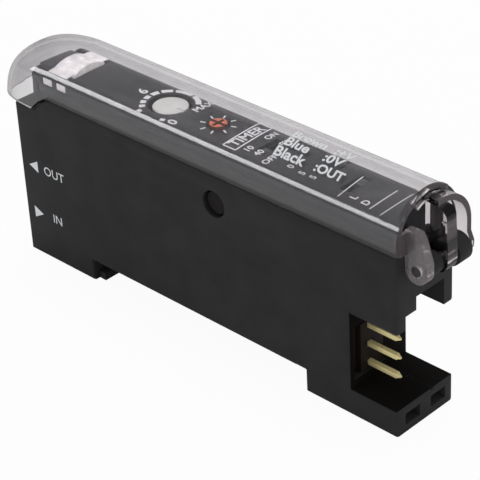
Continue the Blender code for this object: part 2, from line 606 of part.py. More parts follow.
def build_cover(finish):
    """Clear arched cover: a lofted shell with hinge arms and a thumb ridge."""
    bm = bmesh.new()
    rows = [[bm.verts.new(point) for point in ring] for ring in cover_rings()]
    for lower, upper in zip(rows, rows[1:]):
        for k in range(len(lower) - 1):
            bm.faces.new((lower[k], lower[k + 1], upper[k + 1], upper[k]))
    bmesh.ops.remove_doubles(bm, verts=bm.verts, dist=0.002 * MM)
    bmesh.ops.dissolve_degenerate(bm, dist=0.001 * MM, edges=bm.edges)
    cover = new_object("cover", mesh_from(bm, "cover"), finish=finish)
    facing_up = sum(face.normal.z * face.area for face in cover.data.polygons)
    if facing_up < 0:
        cover.data.flip_normals()
    shell = cover.modifiers.new("wall", "SOLIDIFY")
    shell.thickness = COVER_WALL
    shell.offset = -1
    shell.use_even_offset = True

    below = JOINT_HEIGHT - TAB_DROP - WALL
    edge = tab_edge()[1:]
    trim = profile("cover_edge_cut", edge + [(COVER_END + WALL, JOINT_HEIGHT),
                                             (COVER_END + WALL, below), (TAB_LENGTH, below)],
                   "XZ", -2 * WALL, BODY_WIDTH + 4 * WALL, CUTTERS)
    cut(cover, trim)

    arm_start = BODY_LENGTH + SEAT_GAP
    lobe = arc((HINGE_X, HINGE_Z), LOBE_RADIUS, 180, 360, 14)
    arm_top = JOINT_HEIGHT + ARM_TOP
    near = lobe + [(HINGE_X + LOBE_RADIUS, HINGE_Z + 0.8 * LOBE_RADIUS),
                   (HINGE_X + 0.4 * LOBE_RADIUS, arm_top - 0.6 * WALL),
                   (HINGE_X + 0.1 * LOBE_RADIUS, arm_top), (arm_start, arm_top)]
    join(cover, profile("near_arm", near, "XZ", NEAR_ARM_Y, NEAR_ARM, CUTTERS))
    join(cover, box("near_arm_root", (arm_start, MID_Y - COVER_RADIUS + COVER_WALL / 2, JOINT_HEIGHT),
                    (COVER_END - 0.1 * MM, NEAR_ARM_Y + NEAR_ARM / 4, arm_top - 0.1 * MM), CUTTERS))
    crown = COVER_AXIS_Z + COVER_RADIUS
    neck = HINGE_X + CENTRE_ARM_NECK
    centre = lobe + [(HINGE_X + LOBE_RADIUS, HINGE_Z + LOBE_RADIUS), (neck, arm_top + WALL),
                     (neck - 0.5 * WALL, arm_top + 1.6 * WALL), (COVER_END - 0.1 * MM, arm_top + 2 * WALL),
                     (COVER_END - 0.1 * MM, crown - COVER_WALL / 2), (arm_start, crown - COVER_WALL / 2)]
    join(cover, profile("centre_arm", centre, "XZ", CENTRE_ARM_Y, CENTRE_ARM, CUTTERS))
    half_arc = THUMB_ARC / 2
    ridge = arc((MID_Y, COVER_AXIS_Z), COVER_RADIUS + THUMB_HEIGHT, 90 - half_arc, 90 + half_arc, 10)
    ridge += arc((MID_Y, COVER_AXIS_Z), COVER_RADIUS - THUMB_DEPTH, 90 + half_arc, 90 - half_arc, 10)
    join(cover, profile("thumb_ridge", ridge, "YZ", COVER_END - THUMB_LENGTH, THUMB_LENGTH - 0.05 * MM,
                        CUTTERS))
    outer = COVER_RADIUS - 0.6 * COVER_WALL
    rim = [(MID_Y + outer, HINGE_Z)] + arc((MID_Y, COVER_AXIS_Z), outer, 0, RIM_START, 14)
    rim += arc((MID_Y, COVER_AXIS_Z), outer - COVER_WALL, RIM_START, 0, 14)
    rim += [(MID_Y + outer - COVER_WALL, HINGE_Z)]
    join(cover, profile("far_rim", rim, "YZ", arm_start, RIM_REACH - SEAT_GAP, CUTTERS))
    ear = lobe + [(HINGE_X + LOBE_RADIUS, HINGE_Z + 0.5 * LOBE_RADIUS),
                  (BODY_LENGTH + RIM_REACH - 0.1 * MM, HINGE_Z + 1.2 * LOBE_RADIUS),
                  (arm_start + 0.1 * MM, HINGE_Z + 1.2 * LOBE_RADIUS)]
    join(cover, profile("far_ear", ear, "XZ", MID_Y + outer - COVER_WALL + 0.02 * MM,
                        COVER_WALL - 0.04 * MM, CUTTERS))
    cut_hole(cover, "cover_pin_bore", (HINGE_X, -WALL, HINGE_Z), BODY_WIDTH + 2 * WALL,
             HINGE_PIN_RADIUS + RUN_GAP, "Y")
    smooth(cover)
    return cover


def build_hinge_pin(finish):
    """Steel pin through both lugs, the cover's two arms and its far ear."""
    start = PANEL_NEAR + 0.1 * MM
    length = MID_Y + COVER_RADIUS - 0.6 * COVER_WALL - 0.1 * MM - start
    return cylinder("hinge_pin", (HINGE_X, start, HINGE_Z), length,
                    HINGE_PIN_RADIUS, "Y", finish=finish, segments=24)


def build_panel(finish):
    """Operation panel: a cap with a lens bay, dial and switch openings and an end bulkhead."""
    outline = [(CHEEK_START, edge_height(CHEEK_START))]
    outline += [point for point in tab_edge() if point[0] > CHEEK_START]
    outline += [(BODY_LENGTH, JOINT_HEIGHT), (BODY_LENGTH, PANEL_TOP),
                (CHEEK_START + CHEEK_SLOPE, PANEL_TOP), (CHEEK_START, PANEL_TOP - CHEEK_SLOPE)]
    panel = profile("operation_panel", outline, "XZ", PANEL_NEAR, PANEL_WIDTH, finish=finish,
                    bevel=0.25 * MM)
    reach = math.sqrt(BULKHEAD_RADIUS ** 2 - (PANEL_TOP - WALL - COVER_AXIS_Z) ** 2)
    start = math.degrees(math.acos(reach / BULKHEAD_RADIUS))
    rib = arc((MID_Y, COVER_AXIS_Z), BULKHEAD_RADIUS, start, 180 - start, 16)
    rib += [(MID_Y - reach, JOINT_HEIGHT + WALL / 2), (MID_Y + reach, JOINT_HEIGHT + WALL / 2)]
    join(panel, profile("end_bulkhead", rib, "YZ", BODY_LENGTH - BULKHEAD, BULKHEAD, CUTTERS))

    below = JOINT_HEIGHT - TAB_DROP - WALL
    cut_hole(panel, "lever_axle_hole", (LEVER_X, 0, LEVER_HEIGHT), BODY_WIDTH,
             LEVER_AXLE + RUN_GAP, "Y")
    cut_box(panel, "lever_bay", (-WALL, PANEL_NEAR + CHEEK, below),
            (DECK_START - 0.1 * MM, PANEL_FAR - CHEEK, PANEL_TOP + WALL))
    hollow_low = DECK_START + SKIRT
    cut_box(panel, "panel_hollow", (hollow_low, PANEL_NEAR + SKIRT, below),
            (BODY_LENGTH - BULKHEAD, PANEL_FAR - SKIRT, DECK_UNDER))
    for title, start_x in (("front", LEVER_X + 0.4 * MM), ("rear", LENS_START + 1.5 * MM)):
        cut_box(panel, title + "_side_windows", (start_x, 0, wing_low() - 0.1 * MM),
                (start_x + WINDOW_LENGTH, BODY_WIDTH, wing_low() + WINDOW_HEIGHT - 0.1 * MM))
    cut_hole(panel, "dial_hole", (DIAL_X, MID_Y, DECK_UNDER - WALL), 3 * WALL, DIAL_HOLE, "Z")
    cut_hole(panel, "adjuster_hole", (ADJUSTER_X, MID_Y, DECK_UNDER - WALL), 3 * WALL,
             ADJUSTER_HOLE, "Z")
    for title, x in (("timer", TIMER_X), ("mode", MODE_X)):
        cut_box(panel, title + "_slot",
                (x - SWITCH_SLOT_WIDTH / 2, MID_Y - SWITCH_SLOT_LENGTH / 2, DECK_UNDER - WALL),
                (x + SWITCH_SLOT_WIDTH / 2, MID_Y + SWITCH_SLOT_LENGTH / 2, PANEL_TOP + WALL))
    return panel


def wing_low():
    """Underside of the lens's side wings."""
    return JOINT_HEIGHT + 0.368 * PANEL_RISE


def wing_high():
    """Top of the lens's side wings."""
    return JOINT_HEIGHT + 0.684 * PANEL_RISE


def build_lens(finish):
    """Clear indicator lens: a low dome between the cheeks with two side wings."""
    low = wing_low() - 0.2 * MM
    half = LENS_WIDTH / 2
    radius = (half ** 2 + LENS_SAG ** 2) / (2 * LENS_SAG)
    centre = (MID_Y, PANEL_TOP + LENS_PROUD - radius)
    start = math.degrees(math.acos(half / radius))
    outline = arc(centre, radius, start, 180 - start, 14)
    outline += [(MID_Y - half, low), (MID_Y + half, low)]
    lens = profile("indicator_lens", outline, "YZ", LENS_START, LENS_LENGTH, finish=finish)
    for side, y in (("near", PANEL_NEAR + CHEEK + SEAT_GAP),
                    ("far", PANEL_FAR - CHEEK - SEAT_GAP - WING_THICKNESS)):
        join(lens, box(side + "_wing", (LENS_START - WING_LENGTH, y, wing_low()),
                       (LENS_START + WALL, y + WING_THICKNESS, wing_high()), CUTTERS))
    sweep = LEVER_CAM + LEVER_HUB + SEAT_GAP
    half = LEVER_WIDTH / 2 + SEAT_GAP
    cut_box(lens, "lever_relief", (LENS_START - WALL, MID_Y - half, low - WALL),
            (LEVER_X + sweep, MID_Y + half, LEVER_HEIGHT + sweep))
    smooth(lens)
    return lens


def build_leds(finish_a, finish_b):
    """Two surface-mounted indicator lamps under the lens."""
    length, width = 1.6 * MM, 0.8 * MM
    x = LENS_START + 0.66 * LENS_LENGTH
    base = PANEL_BOARD_TOP + 0.1 * MM
    for name, offset, finish in (("stability_led", -1.2 * MM, finish_a),
                                 ("operation_led", 1.2 * MM, finish_b)):
        box(name, (x - length / 2, MID_Y + offset - width / 2, base),
            (x + length / 2, MID_Y + offset + width / 2, base + 0.5 * MM), finish=finish,
            bevel=0.1 * MM)


def build_holder(finish):
    """Light-tight block that holds both fibres, their seals and the optical parts."""
    holder = box("fibre_holder", (HOLDER_X, WALL + SEAT_GAP, HOLDER_BOTTOM),
                 (HOLDER_X + HOLDER_LENGTH, LID_SEAT - SEAT_GAP, HOLDER_TOP), finish=finish)
    for title, height in (("out", FIBRE_OUT_HEIGHT), ("in", FIBRE_IN_HEIGHT)):
        cut_hole(holder, "bore_" + title, (HOLDER_X - WALL, MID_Y, height), HOLDER_LENGTH + WALL,
                 FIBRE_BORE, "X")
        cut_hole(holder, "ring_seat_" + title, (HOLDER_X - WALL, MID_Y, height),
                 WALL + 2 * RING_SECTION + SEAT_GAP, RING_RADIUS + RING_SECTION + 0.1 * MM, "X")
        cut_hole(holder, "optic_seat_" + title, (HOLDER_X + BORE_DEPTH, MID_Y, height),
                 HOLDER_LENGTH, OPTIC_RADIUS + 0.15 * MM, "X")
    cut_box(holder, "clamp_slot",
            (LEVER_X - CLAMP_THICKNESS / 2 - SLIDE_GAP, MID_Y - CLAMP_WIDTH / 2 - SLIDE_GAP,
             HOLDER_BOTTOM - WALL),
            (LEVER_X + CLAMP_THICKNESS / 2 + SLIDE_GAP, MID_Y + CLAMP_WIDTH / 2 + SLIDE_GAP,
             HOLDER_TOP + WALL))
    return holder


def clamp_low():
    """Foot of the fibre clamp when it is locked."""
    return WALL + SEAT_GAP


def build_rings(finish):
    """Seal rings that grip the fibres at the ports."""
    for title, height in (("out", FIBRE_OUT_HEIGHT), ("in", FIBRE_IN_HEIGHT)):
        x = HOLDER_X + RING_SECTION + 0.1 * MM
        bpy.ops.mesh.primitive_torus_add(major_radius=RING_RADIUS, minor_radius=RING_SECTION,
                                         major_segments=20, minor_segments=8,
                                         location=(x, MID_Y, height),
                                         rotation=(0, math.radians(90), 0))
        ring = bpy.context.object
        ring.name = "seal_ring_" + title
        for group in list(ring.users_collection):
            group.objects.unlink(ring)
        bpy.data.collections[PARTS].objects.link(ring)
        ring.data.materials.append(finish)
        smooth(ring)


def build_optics(finish_out, finish_in):
    """Light source and receiver behind the fibre bores, each with two leads."""
    x = HOLDER_X + BORE_DEPTH + SEAT_GAP
    for name, height, finish in (("emitter_led", FIBRE_OUT_HEIGHT, finish_out),
                                 ("receiver_diode", FIBRE_IN_HEIGHT, finish_in)):
        optic = cylinder(name, (x, MID_Y, height), OPTIC_LENGTH, OPTIC_RADIUS, "X",
                         finish=finish, segments=24)
        for k, offset in enumerate((-LEAD_SPREAD / 2, LEAD_SPREAD / 2)):
            lead = cylinder("%s_lead_%d" % (name, k + 1),
                            (x + OPTIC_LENGTH / 2, MID_Y + offset, height),
                            BOARD_START + 0.6 * MM - x - OPTIC_LENGTH / 2, LEAD_RADIUS, "X",
                            CUTTERS, segments=10)
            join(optic, lead)


def build_clamp(finish):
    """Sliding plate whose two holes pinch the fibres when the lever is down."""
    top = LEVER_HEIGHT - LEVER_CAM - LEVER_HUB - SEAT_GAP
    clamp = box("fibre_clamp",
                (LEVER_X - CLAMP_THICKNESS / 2, MID_Y - CLAMP_WIDTH / 2, clamp_low()),
                (LEVER_X + CLAMP_THICKNESS / 2, MID_Y + CLAMP_WIDTH / 2, top), finish=finish,
                bevel=0.2 * MM, edges="X")
    for title, height in (("out", FIBRE_OUT_HEIGHT), ("in", FIBRE_IN_HEIGHT)):
        cut_hole(clamp, "clamp_hole_" + title, (0, MID_Y, height - CLAMP_TRAVEL), 2 * LEVER_X,
                 FIBRE_BORE + 0.1 * MM, "X")
    return clamp


def build_lever(finish):
    """Fibre lock lever: eccentric hub on two stub axles, web and finger bar."""
    half = LEVER_WIDTH / 2
    lever = cylinder("lock_lever", (LEVER_X, MID_Y - half, LEVER_HEIGHT - LEVER_CAM),
                     LEVER_WIDTH, LEVER_HUB, "Y", finish=finish, segments=28)
    reach = PANEL_WIDTH / 2 - 0.1 * MM
    join(lever, cylinder("lever_axle", (LEVER_X, MID_Y - reach, LEVER_HEIGHT), 2 * reach,
                         LEVER_AXLE, "Y", CUTTERS, segments=20))
    bar_low = PANEL_TOP - LEVER_BAR_TOP - LEVER_BAR_HEIGHT
    bar_x = LEVER_X - LEVER_BAR_BACK
    web = [(LEVER_X - 0.9 * MM, LEVER_HEIGHT), (LEVER_X + 0.9 * MM, LEVER_HEIGHT),
           (bar_x + 0.8 * LEVER_BAR_LENGTH, bar_low + 0.2 * MM), (bar_x + 0.1 * MM, bar_low + 0.2 * MM)]
    join(lever, profile("lever_web", web, "XZ", MID_Y - half, LEVER_WIDTH, CUTTERS))
    join(lever, box("lever_bar", (bar_x, MID_Y - LEVER_BAR_WIDTH / 2, bar_low),
                    (bar_x + LEVER_BAR_LENGTH, MID_Y + LEVER_BAR_WIDTH / 2, bar_low + LEVER_BAR_HEIGHT),
                    CUTTERS, bevel=0.15 * MM))
    return lever


def build_boards(finish):
    """Upright main board and the flat board under the operation panel."""
    board = box("circuit_board", (BOARD_START, BOARD_NEAR, BOARD_BOTTOM),
                (BOARD_START + BOARD_LENGTH, BOARD_FAR, BOARD_TOP), finish=finish)
    for k, (x, z) in enumerate(standoff_places()):
        cut_hole(board, "board_hole_%d" % (k + 1), (x, 0, z), BODY_WIDTH, 0.5 * STANDOFF_RADIUS, "Y")
    half = SLOT_WIDTH / 2 - SEAT_GAP
    flat = box("panel_board", (SLOT_START + SEAT_GAP, MID_Y - half, PANEL_BOARD_BOTTOM),
               (SLOT_END - SEAT_GAP, MID_Y + half, PANEL_BOARD_TOP), finish=finish)
    for title, x, radius in (("adjuster", ADJUSTER_X, ADJUSTER_SHAFT + 0.1 * MM),
                             ("idler", IDLER_X, POST_RADIUS + RUN_GAP),
                             ("dial", DIAL_X, POST_RADIUS + RUN_GAP)):
        cut_hole(flat, title + "_board_hole", (x, MID_Y, PANEL_BOARD_BOTTOM - WALL), 3 * WALL,
                 radius, "Z")


def build_board_parts(finishes):
    """The parts that the boards carry, placed by shares of the board's size."""
    carried = BOARD_FAR + COMPONENT_GAP

    def along(share):
        return BOARD_START + share * BOARD_LENGTH

    def up(share):
        return BOARD_BOTTOM + share * BOARD_HEIGHT

    can = box("shield_can", (along(0.13), carried, up(0.08)),
              (along(0.35), carried + CAN_HEIGHT, up(0.63)), finish=finishes["can"],
              bevel=0.3 * MM)
    for k, share in enumerate((0.19, 0.24, 0.29)):
        cut_hole(can, "can_vent_%d" % (k + 1), (along(share), carried + CAN_HEIGHT / 2, up(0.38)),
                 CAN_HEIGHT, 0.5 * MM, "Y")
    box("controller_chip", (along(0.42), carried, up(0.13)),
        (along(0.62), carried + CHIP_HEIGHT, up(0.57)), finish=finishes["chip"],
        bevel=0.15 * MM)
    box("output_transistor", (along(0.85), carried, up(0.13)),
        (along(0.93), carried + CHIP_HEIGHT, up(0.29)), finish=finishes["chip"],
        bevel=0.15 * MM)
    cylinder("smoothing_capacitor",
             (along(0.735), carried + SEAT_GAP / 3 + CAPACITOR_RADIUS, up(0.19)),
             0.33 * BOARD_HEIGHT, CAPACITOR_RADIUS, "Z", finish=finishes["capacitor"],
             segments=24)
    half = LINK_PART_SIZE / 2
    for name, low_y, depth in (("link_emitter", BOARD_NEAR - 0.7 * STANDOFF, 0.6 * STANDOFF),
                               ("link_receiver", carried, 1.4 * STANDOFF)):
        box(name, (LINK_X - half, low_y, LINK_HEIGHT - 0.7 * half),
            (LINK_X + half, low_y + depth, LINK_HEIGHT + 0.7 * half), finish=finishes["lens"],
            bevel=0.1 * MM)
    half = TRIMMER_SIZE / 2
    top = PANEL_BOARD_BOTTOM - COMPONENT_GAP
    trimmer = box("sensitivity_trimmer",
                  (ADJUSTER_X - half, MID_Y - half + 0.2 * MM, top - TRIMMER_HEIGHT),
                  (ADJUSTER_X + half, MID_Y + half, top), finish=finishes["trimmer"],
                  bevel=0.15 * MM)
    cut_hole(trimmer, "trimmer_bore", (ADJUSTER_X, MID_Y, top - TRIMMER_HEIGHT / 2), 3 * WALL,
             ADJUSTER_SHAFT + RUN_GAP, "Z")


def build_adjuster(finish):
    """Cross-slotted adjuster with its pinion, on one shaft."""
    top = PANEL_TOP + ADJUSTER_PROUD
    head_low = DECK_UNDER + 0.1 * MM
    shaft_low = PANEL_BOARD_BOTTOM - TRIMMER_HEIGHT / 3
    adjuster = cylinder("adjuster", (ADJUSTER_X, MID_Y, head_low), top - head_low,
                        ADJUSTER_RADIUS, "Z", finish=finish,
                        end_radius=ADJUSTER_RADIUS - 0.12 * MM, segments=28)
    join(adjuster, cylinder("adjuster_shaft", (ADJUSTER_X, MID_Y, shaft_low),
                            head_low + 0.2 * MM - shaft_low, ADJUSTER_SHAFT, "Z", CUTTERS,
                            segments=16))
    pinion = profile("adjuster_pinion", gear_outline((ADJUSTER_X, MID_Y), ADJUSTER_TEETH), "XY",
                     UPPER_GEAR_Z, GEAR_THICKNESS, CUTTERS)
    join(adjuster, pinion)
    reach = ADJUSTER_RADIUS
    for title, sx, sy in (("long", reach, DRIVE_SLOT / 2), ("cross", DRIVE_SLOT / 2, 0.75 * reach)):
        cut_box(adjuster, "drive_slot_" + title,
                (ADJUSTER_X - sx, MID_Y - sy, top - 0.45 * MM), (ADJUSTER_X + sx, MID_Y + sy, top + WALL))
    return adjuster


def build_idler(finish, pin_finish):
    """Stepped idler wheel on a fixed post."""
    large_phase = math.pi / IDLER_LARGE_TEETH
    idler = profile("idler_gear", gear_outline((IDLER_X, MID_Y), IDLER_LARGE_TEETH, large_phase),
                    "XY", UPPER_GEAR_Z, GEAR_THICKNESS, finish=finish)
    small_phase = math.pi * (1 + (IDLER_SMALL_TEETH + 1) % 2 / IDLER_SMALL_TEETH)
    small = profile("idler_small_wheel",
                    gear_outline((IDLER_X, MID_Y), IDLER_SMALL_TEETH, small_phase), "XY",
                    LOWER_GEAR_Z, GEAR_THICKNESS, CUTTERS)
    hub = cylinder("idler_hub", (IDLER_X, MID_Y, LOWER_GEAR_Z + GEAR_THICKNESS / 2),
                   SEAT_GAP + GEAR_THICKNESS, 1.0 * MM, "Z", CUTTERS, segments=20)
    join(idler, hub, small)
    cut_hole(idler, "idler_bore", (IDLER_X, MID_Y, LOWER_GEAR_Z - WALL), 4 * WALL,
             POST_RADIUS + RUN_GAP, "Z")
    cylinder("idler_post", (IDLER_X, MID_Y, PANEL_BOARD_BOTTOM),
             DECK_UNDER - 0.1 * MM - PANEL_BOARD_BOTTOM, POST_RADIUS, "Z", finish=pin_finish,
             segments=16)
    return idler


def build_dial(finish, pin_finish):
    """Sensitivity dial: a white disc on a hub with its wheel, on a fixed post."""
    top = PANEL_TOP - DIAL_RECESS
    dial = cylinder("indicator_dial", (DIAL_X, MID_Y, top - DIAL_THICKNESS), DIAL_THICKNESS,
                    DIAL_RADIUS, "Z", finish=finish, segments=40)
    phase = math.pi / DIAL_TEETH
    join(dial,
         cylinder("dial_hub", (DIAL_X, MID_Y, LOWER_GEAR_Z + GEAR_THICKNESS / 2),
                  top - DIAL_THICKNESS / 2 - LOWER_GEAR_Z - GEAR_THICKNESS / 2, DIAL_HUB, "Z",
                  CUTTERS, segments=24),
         profile("dial_wheel", gear_outline((DIAL_X, MID_Y), DIAL_TEETH, phase), "XY",
                 LOWER_GEAR_Z, GEAR_THICKNESS, CUTTERS))
    post_top = top - DIAL_THICKNESS - 0.3 * MM
    cut_hole(dial, "dial_bore", (DIAL_X, MID_Y, LOWER_GEAR_Z - WALL),
             post_top + 0.1 * MM - LOWER_GEAR_Z + WALL, POST_RADIUS + RUN_GAP, "Z")
    cut_box(dial, "dial_pointer", (DIAL_X + 0.5 * DIAL_RADIUS, MID_Y - 0.15 * MM, top - 0.12 * MM),
            (DIAL_X + 1.2 * DIAL_RADIUS, MID_Y + 0.15 * MM, top + WALL))
    cylinder("dial_post", (DIAL_X, MID_Y, PANEL_BOARD_BOTTOM), post_top - PANEL_BOARD_BOTTOM,
             POST_RADIUS, "Z", finish=pin_finish, segments=16)
    return dial


def build_switch(title, x, start_side, body_finish, knob_finish):
    """Slide switch: body on the flat board, knob in the panel's slot."""
    base = PANEL_BOARD_TOP + 0.1 * MM
    box(title + "_switch_body", (x - SWITCH_LENGTH / 2, MID_Y - SWITCH_WIDTH / 2, base),
        (x + SWITCH_LENGTH / 2, MID_Y + SWITCH_WIDTH / 2, base + SWITCH_HEIGHT),
        finish=body_finish, bevel=0.1 * MM)
    y = MID_Y + start_side * SWITCH_TRAVEL / 2
    knob_low = base + SWITCH_HEIGHT + 0.1 * MM
    knob = box(title + "_switch_knob", (x - KNOB_WIDTH / 2, y - KNOB_LENGTH / 2, knob_low),
               (x + KNOB_WIDTH / 2, y + KNOB_LENGTH / 2, PANEL_TOP - 0.1 * MM),
               finish=knob_finish, bevel=0.12 * MM)
    join(knob, box(title + "_knob_foot",
                   (x - SWITCH_LENGTH / 2 + 0.2 * MM, y - KNOB_LENGTH / 2, knob_low),
                   (x + SWITCH_LENGTH / 2 - 0.2 * MM, y + KNOB_LENGTH / 2, knob_low + 0.4 * MM),
                   CUTTERS))
    for k in (-1, 0, 1):
        cut_box(knob, "%s_knob_groove_%d" % (title, k + 2),
                (x - WALL, y + k * 0.34 * MM - 0.07 * MM, PANEL_TOP - 0.22 * MM),
                (x + WALL, y + k * 0.34 * MM + 0.07 * MM, PANEL_TOP))


def build_connector(header_finish, pin_finish):
    """Contact block in the cavity's back wall, with three square pins."""
    low, high = header_window()
    gap = SEAT_GAP
    step_x = CAVITY_X - 0.9 * MM
    header = box("connector_header", (CAVITY_X - HEADER_DEPTH + 0.6 * MM, low[0] + gap, low[1] + gap),
                 (step_x, high[0] - gap, high[1] - gap), finish=header_finish)
    tower = box("header_tower", (step_x - WALL / 2, low[0] + gap + WALL, low[1] + gap),
                (CAVITY_X - 0.1 * MM, high[0] - gap, high[1] - gap), CUTTERS)
    join(header, tower)
    half = PIN_SIZE / 2
    for k in range(PIN_COUNT):
        z = PIN_FIRST + PIN_PITCH * k
        cut_box(header, "pin_hole_%d" % (k + 1),
                (CAVITY_X - 2 * HEADER_DEPTH, PIN_ROW - half - 0.1 * MM, z - half - 0.1 * MM),
                (CAVITY_X + WALL, PIN_ROW + half + 0.1 * MM, z + half + 0.1 * MM))
        pin = box("contact_pin_%d" % (k + 1),
                  (CAVITY_X - HEADER_DEPTH - 0.2 * MM, PIN_ROW - half, z - half),
                  (CAVITY_X + PIN_REACH - 0.4 * MM, PIN_ROW + half, z + half), finish=pin_finish)
        tip = cylinder("pin_tip_%d" % (k + 1), (CAVITY_X + PIN_REACH - 0.6 * MM, PIN_ROW, z), 0.6 * MM,
                       half * math.sqrt(2), "X", CUTTERS, end_radius=0.45 * half, segments=4)
        tip.data.transform(Matrix.Translation((0, PIN_ROW, z)) @ Matrix.Rotation(math.radians(45), 4, "X")
                           @ Matrix.Translation((0, -PIN_ROW, -z)))
        trim = box("pin_trim_%d" % (k + 1), (CAVITY_X + PIN_REACH - 0.5 * MM, PIN_ROW - WALL, z - WALL),
                   (CAVITY_X + PIN_REACH + WALL, PIN_ROW + WALL, z + WALL), CUTTERS)
        boolean(pin, trim)
        join(pin, tip)


def build_link_windows(finish):
    """Dark windows in both sides for the optical link between neighbours."""
    radius = LINK_RADIUS - SEAT_GAP
    depth = 0.6 * MM
    cylinder("link_window_near", (LINK_X, WALL - depth, LINK_HEIGHT), depth, radius, "Y",
             finish=finish, segments=28)
    cylinder("link_window_far", (LINK_X, BODY_WIDTH - LID_THICKNESS, LINK_HEIGHT), depth, radius,
             "Y", finish=finish, segments=28)


def build_latch(finish):
    """Sliding rail latch with a wedge nose and two guide flanges."""
    low = -FOOT_DROP + 0.1 * MM
    top = -LATCH_CEILING - SLIDE_GAP
    start = REAR_FOOT_X + 0.2 * MM
    end = REAR_FOOT_X + LATCH_LENGTH
    half = LATCH_WIDTH / 2
    side = [(start, low + HOOK_HEIGHT), (start - LATCH_NOSE, low + HOOK_HEIGHT),
            (start - LATCH_NOSE, low + 0.6 * HOOK_HEIGHT), (start, low), (end, low), (end, top),
            (start, top)]
    latch = profile("rail_latch", side, "XZ", MID_Y - half, LATCH_WIDTH, finish=finish)
    flange = half + LATCH_FLANGE - 0.1 * MM
    join(latch, box("latch_flanges", (start + WALL, MID_Y - flange, latch_flange_low() + 0.1 * MM),
                    (end, MID_Y + flange, top), CUTTERS))
    cut_box(latch, "latch_grip", (end - 2 * WALL, MID_Y - half + WALL, low - WALL),
            (end - WALL, MID_Y + half - WALL, low + 0.5 * MM))
    return latch


def set_origin(item, x, y, z):
    """Put a piece's origin on its joint axis without moving its shape."""
    item.data.transform(Matrix.Translation((-x, -y, -z)))
    item.location = (x, y, z)


def move_to_row_frame():
    """Shift everything so the middle of the rail seat is the origin."""
    shift = Vector((FOOT_LENGTH + RAIL_GAP / 2, MID_Y, 0))
    for group in (PARTS, CUTTERS):
        for item in bpy.data.collections[group].objects:
            item.location = item.location - shift


def build():
    """Make every piece."""
    clear_scene()
    case_black = material("case_abs", (0.028, 0.028, 0.030), 0.55)
    panel_grey = material("panel_abs", (0.050, 0.048, 0.056), 0.45)
    holder_black = material("holder_black", (0.012, 0.012, 0.012), 0.6)
    clear = material("clear_polycarbonate", (0.85, 0.85, 0.88), 0.08, alpha=0.3)
    lens_clear = material("lens_acrylic", (0.92, 0.92, 0.94), 0.1, alpha=0.5)
    board_green = material("board_green", (0.02, 0.12, 0.05), 0.5)
    steel = material("steel", (0.6, 0.6, 0.62), 0.3, metallic=1.0)
    gold = material("gold_plate", (0.83, 0.60, 0.22), 0.25, metallic=1.0)
    brass = material("post_brass", (0.75, 0.58, 0.28), 0.35, metallic=1.0)
    orange = material("adjuster_orange", (0.85, 0.22, 0.06), 0.4)
    white = material("dial_white", (0.80, 0.80, 0.78), 0.45)
    gear_white = material("gear_acetal", (0.72, 0.72, 0.70), 0.5)
    rubber = material("ring_rubber", (0.02, 0.02, 0.02), 0.8)
    header_brown = material("header_nylon", (0.10, 0.07, 0.05), 0.6)
    lever_grey = material("lever_abs", (0.06, 0.06, 0.07), 0.45)
    window = material("window_dark", (0.012, 0.008, 0.010), 0.15)
    switch_body = material("switch_body", (0.03, 0.03, 0.03), 0.5)
    knob_white = material("knob_white", (0.75, 0.75, 0.75), 0.45)
    led_red = material("emitter_red", (0.70, 0.10, 0.08), 0.2)
    led_green = material("led_green", (0.10, 0.55, 0.20), 0.3)
    led_orange = material("led_orange", (0.85, 0.35, 0.08), 0.3)
    diode_dark = material("diode_dark", (0.03, 0.02, 0.03), 0.2)

    build_case(case_black)
    build_lid(case_black)
    build_panel(panel_grey)
    set_origin(build_cover(clear), HINGE_X, MID_Y, HINGE_Z)
    build_hinge_pin(steel)
    build_lens(lens_clear)
    build_leds(led_green, led_orange)
    build_holder(holder_black)
    build_rings(rubber)
    build_optics(led_red, diode_dark)
    set_origin(build_clamp(lever_grey), LEVER_X, MID_Y, FIBRE_OUT_HEIGHT)
    set_origin(build_lever(lever_grey), LEVER_X, MID_Y, LEVER_HEIGHT)
    build_boards(board_green)
    build_board_parts({"can": steel, "chip": switch_body, "capacitor": panel_grey,
                       "lens": diode_dark, "trimmer": knob_white})
    set_origin(build_adjuster(orange), ADJUSTER_X, MID_Y, UPPER_GEAR_Z)
    set_origin(build_idler(gear_white, brass), IDLER_X, MID_Y, LOWER_GEAR_Z)
    set_origin(build_dial(white, brass), DIAL_X, MID_Y, LOWER_GEAR_Z)
    build_switch("timer", TIMER_X, -1, switch_body, knob_white)
    build_switch("mode", MODE_X, 1, switch_body, knob_white)
    build_connector(header_brown, gold)
    build_link_windows(window)
    build_latch(case_black)
    move_to_row_frame()


build()
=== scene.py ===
"""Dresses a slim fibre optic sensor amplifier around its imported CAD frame.

Drawing millimetres are used throughout: X from the fibre end face to the
connector end, Y from the near side across the slim width, Z up from the rail
face. Mould.place turns them into the row frame's metres.
"""

from __future__ import annotations

import logging
import math
from contextlib import contextmanager
from dataclasses import dataclass, field
from enum import Enum, IntEnum
from typing import Iterator, Sequence

import bpy
from mathutils import Matrix, Vector

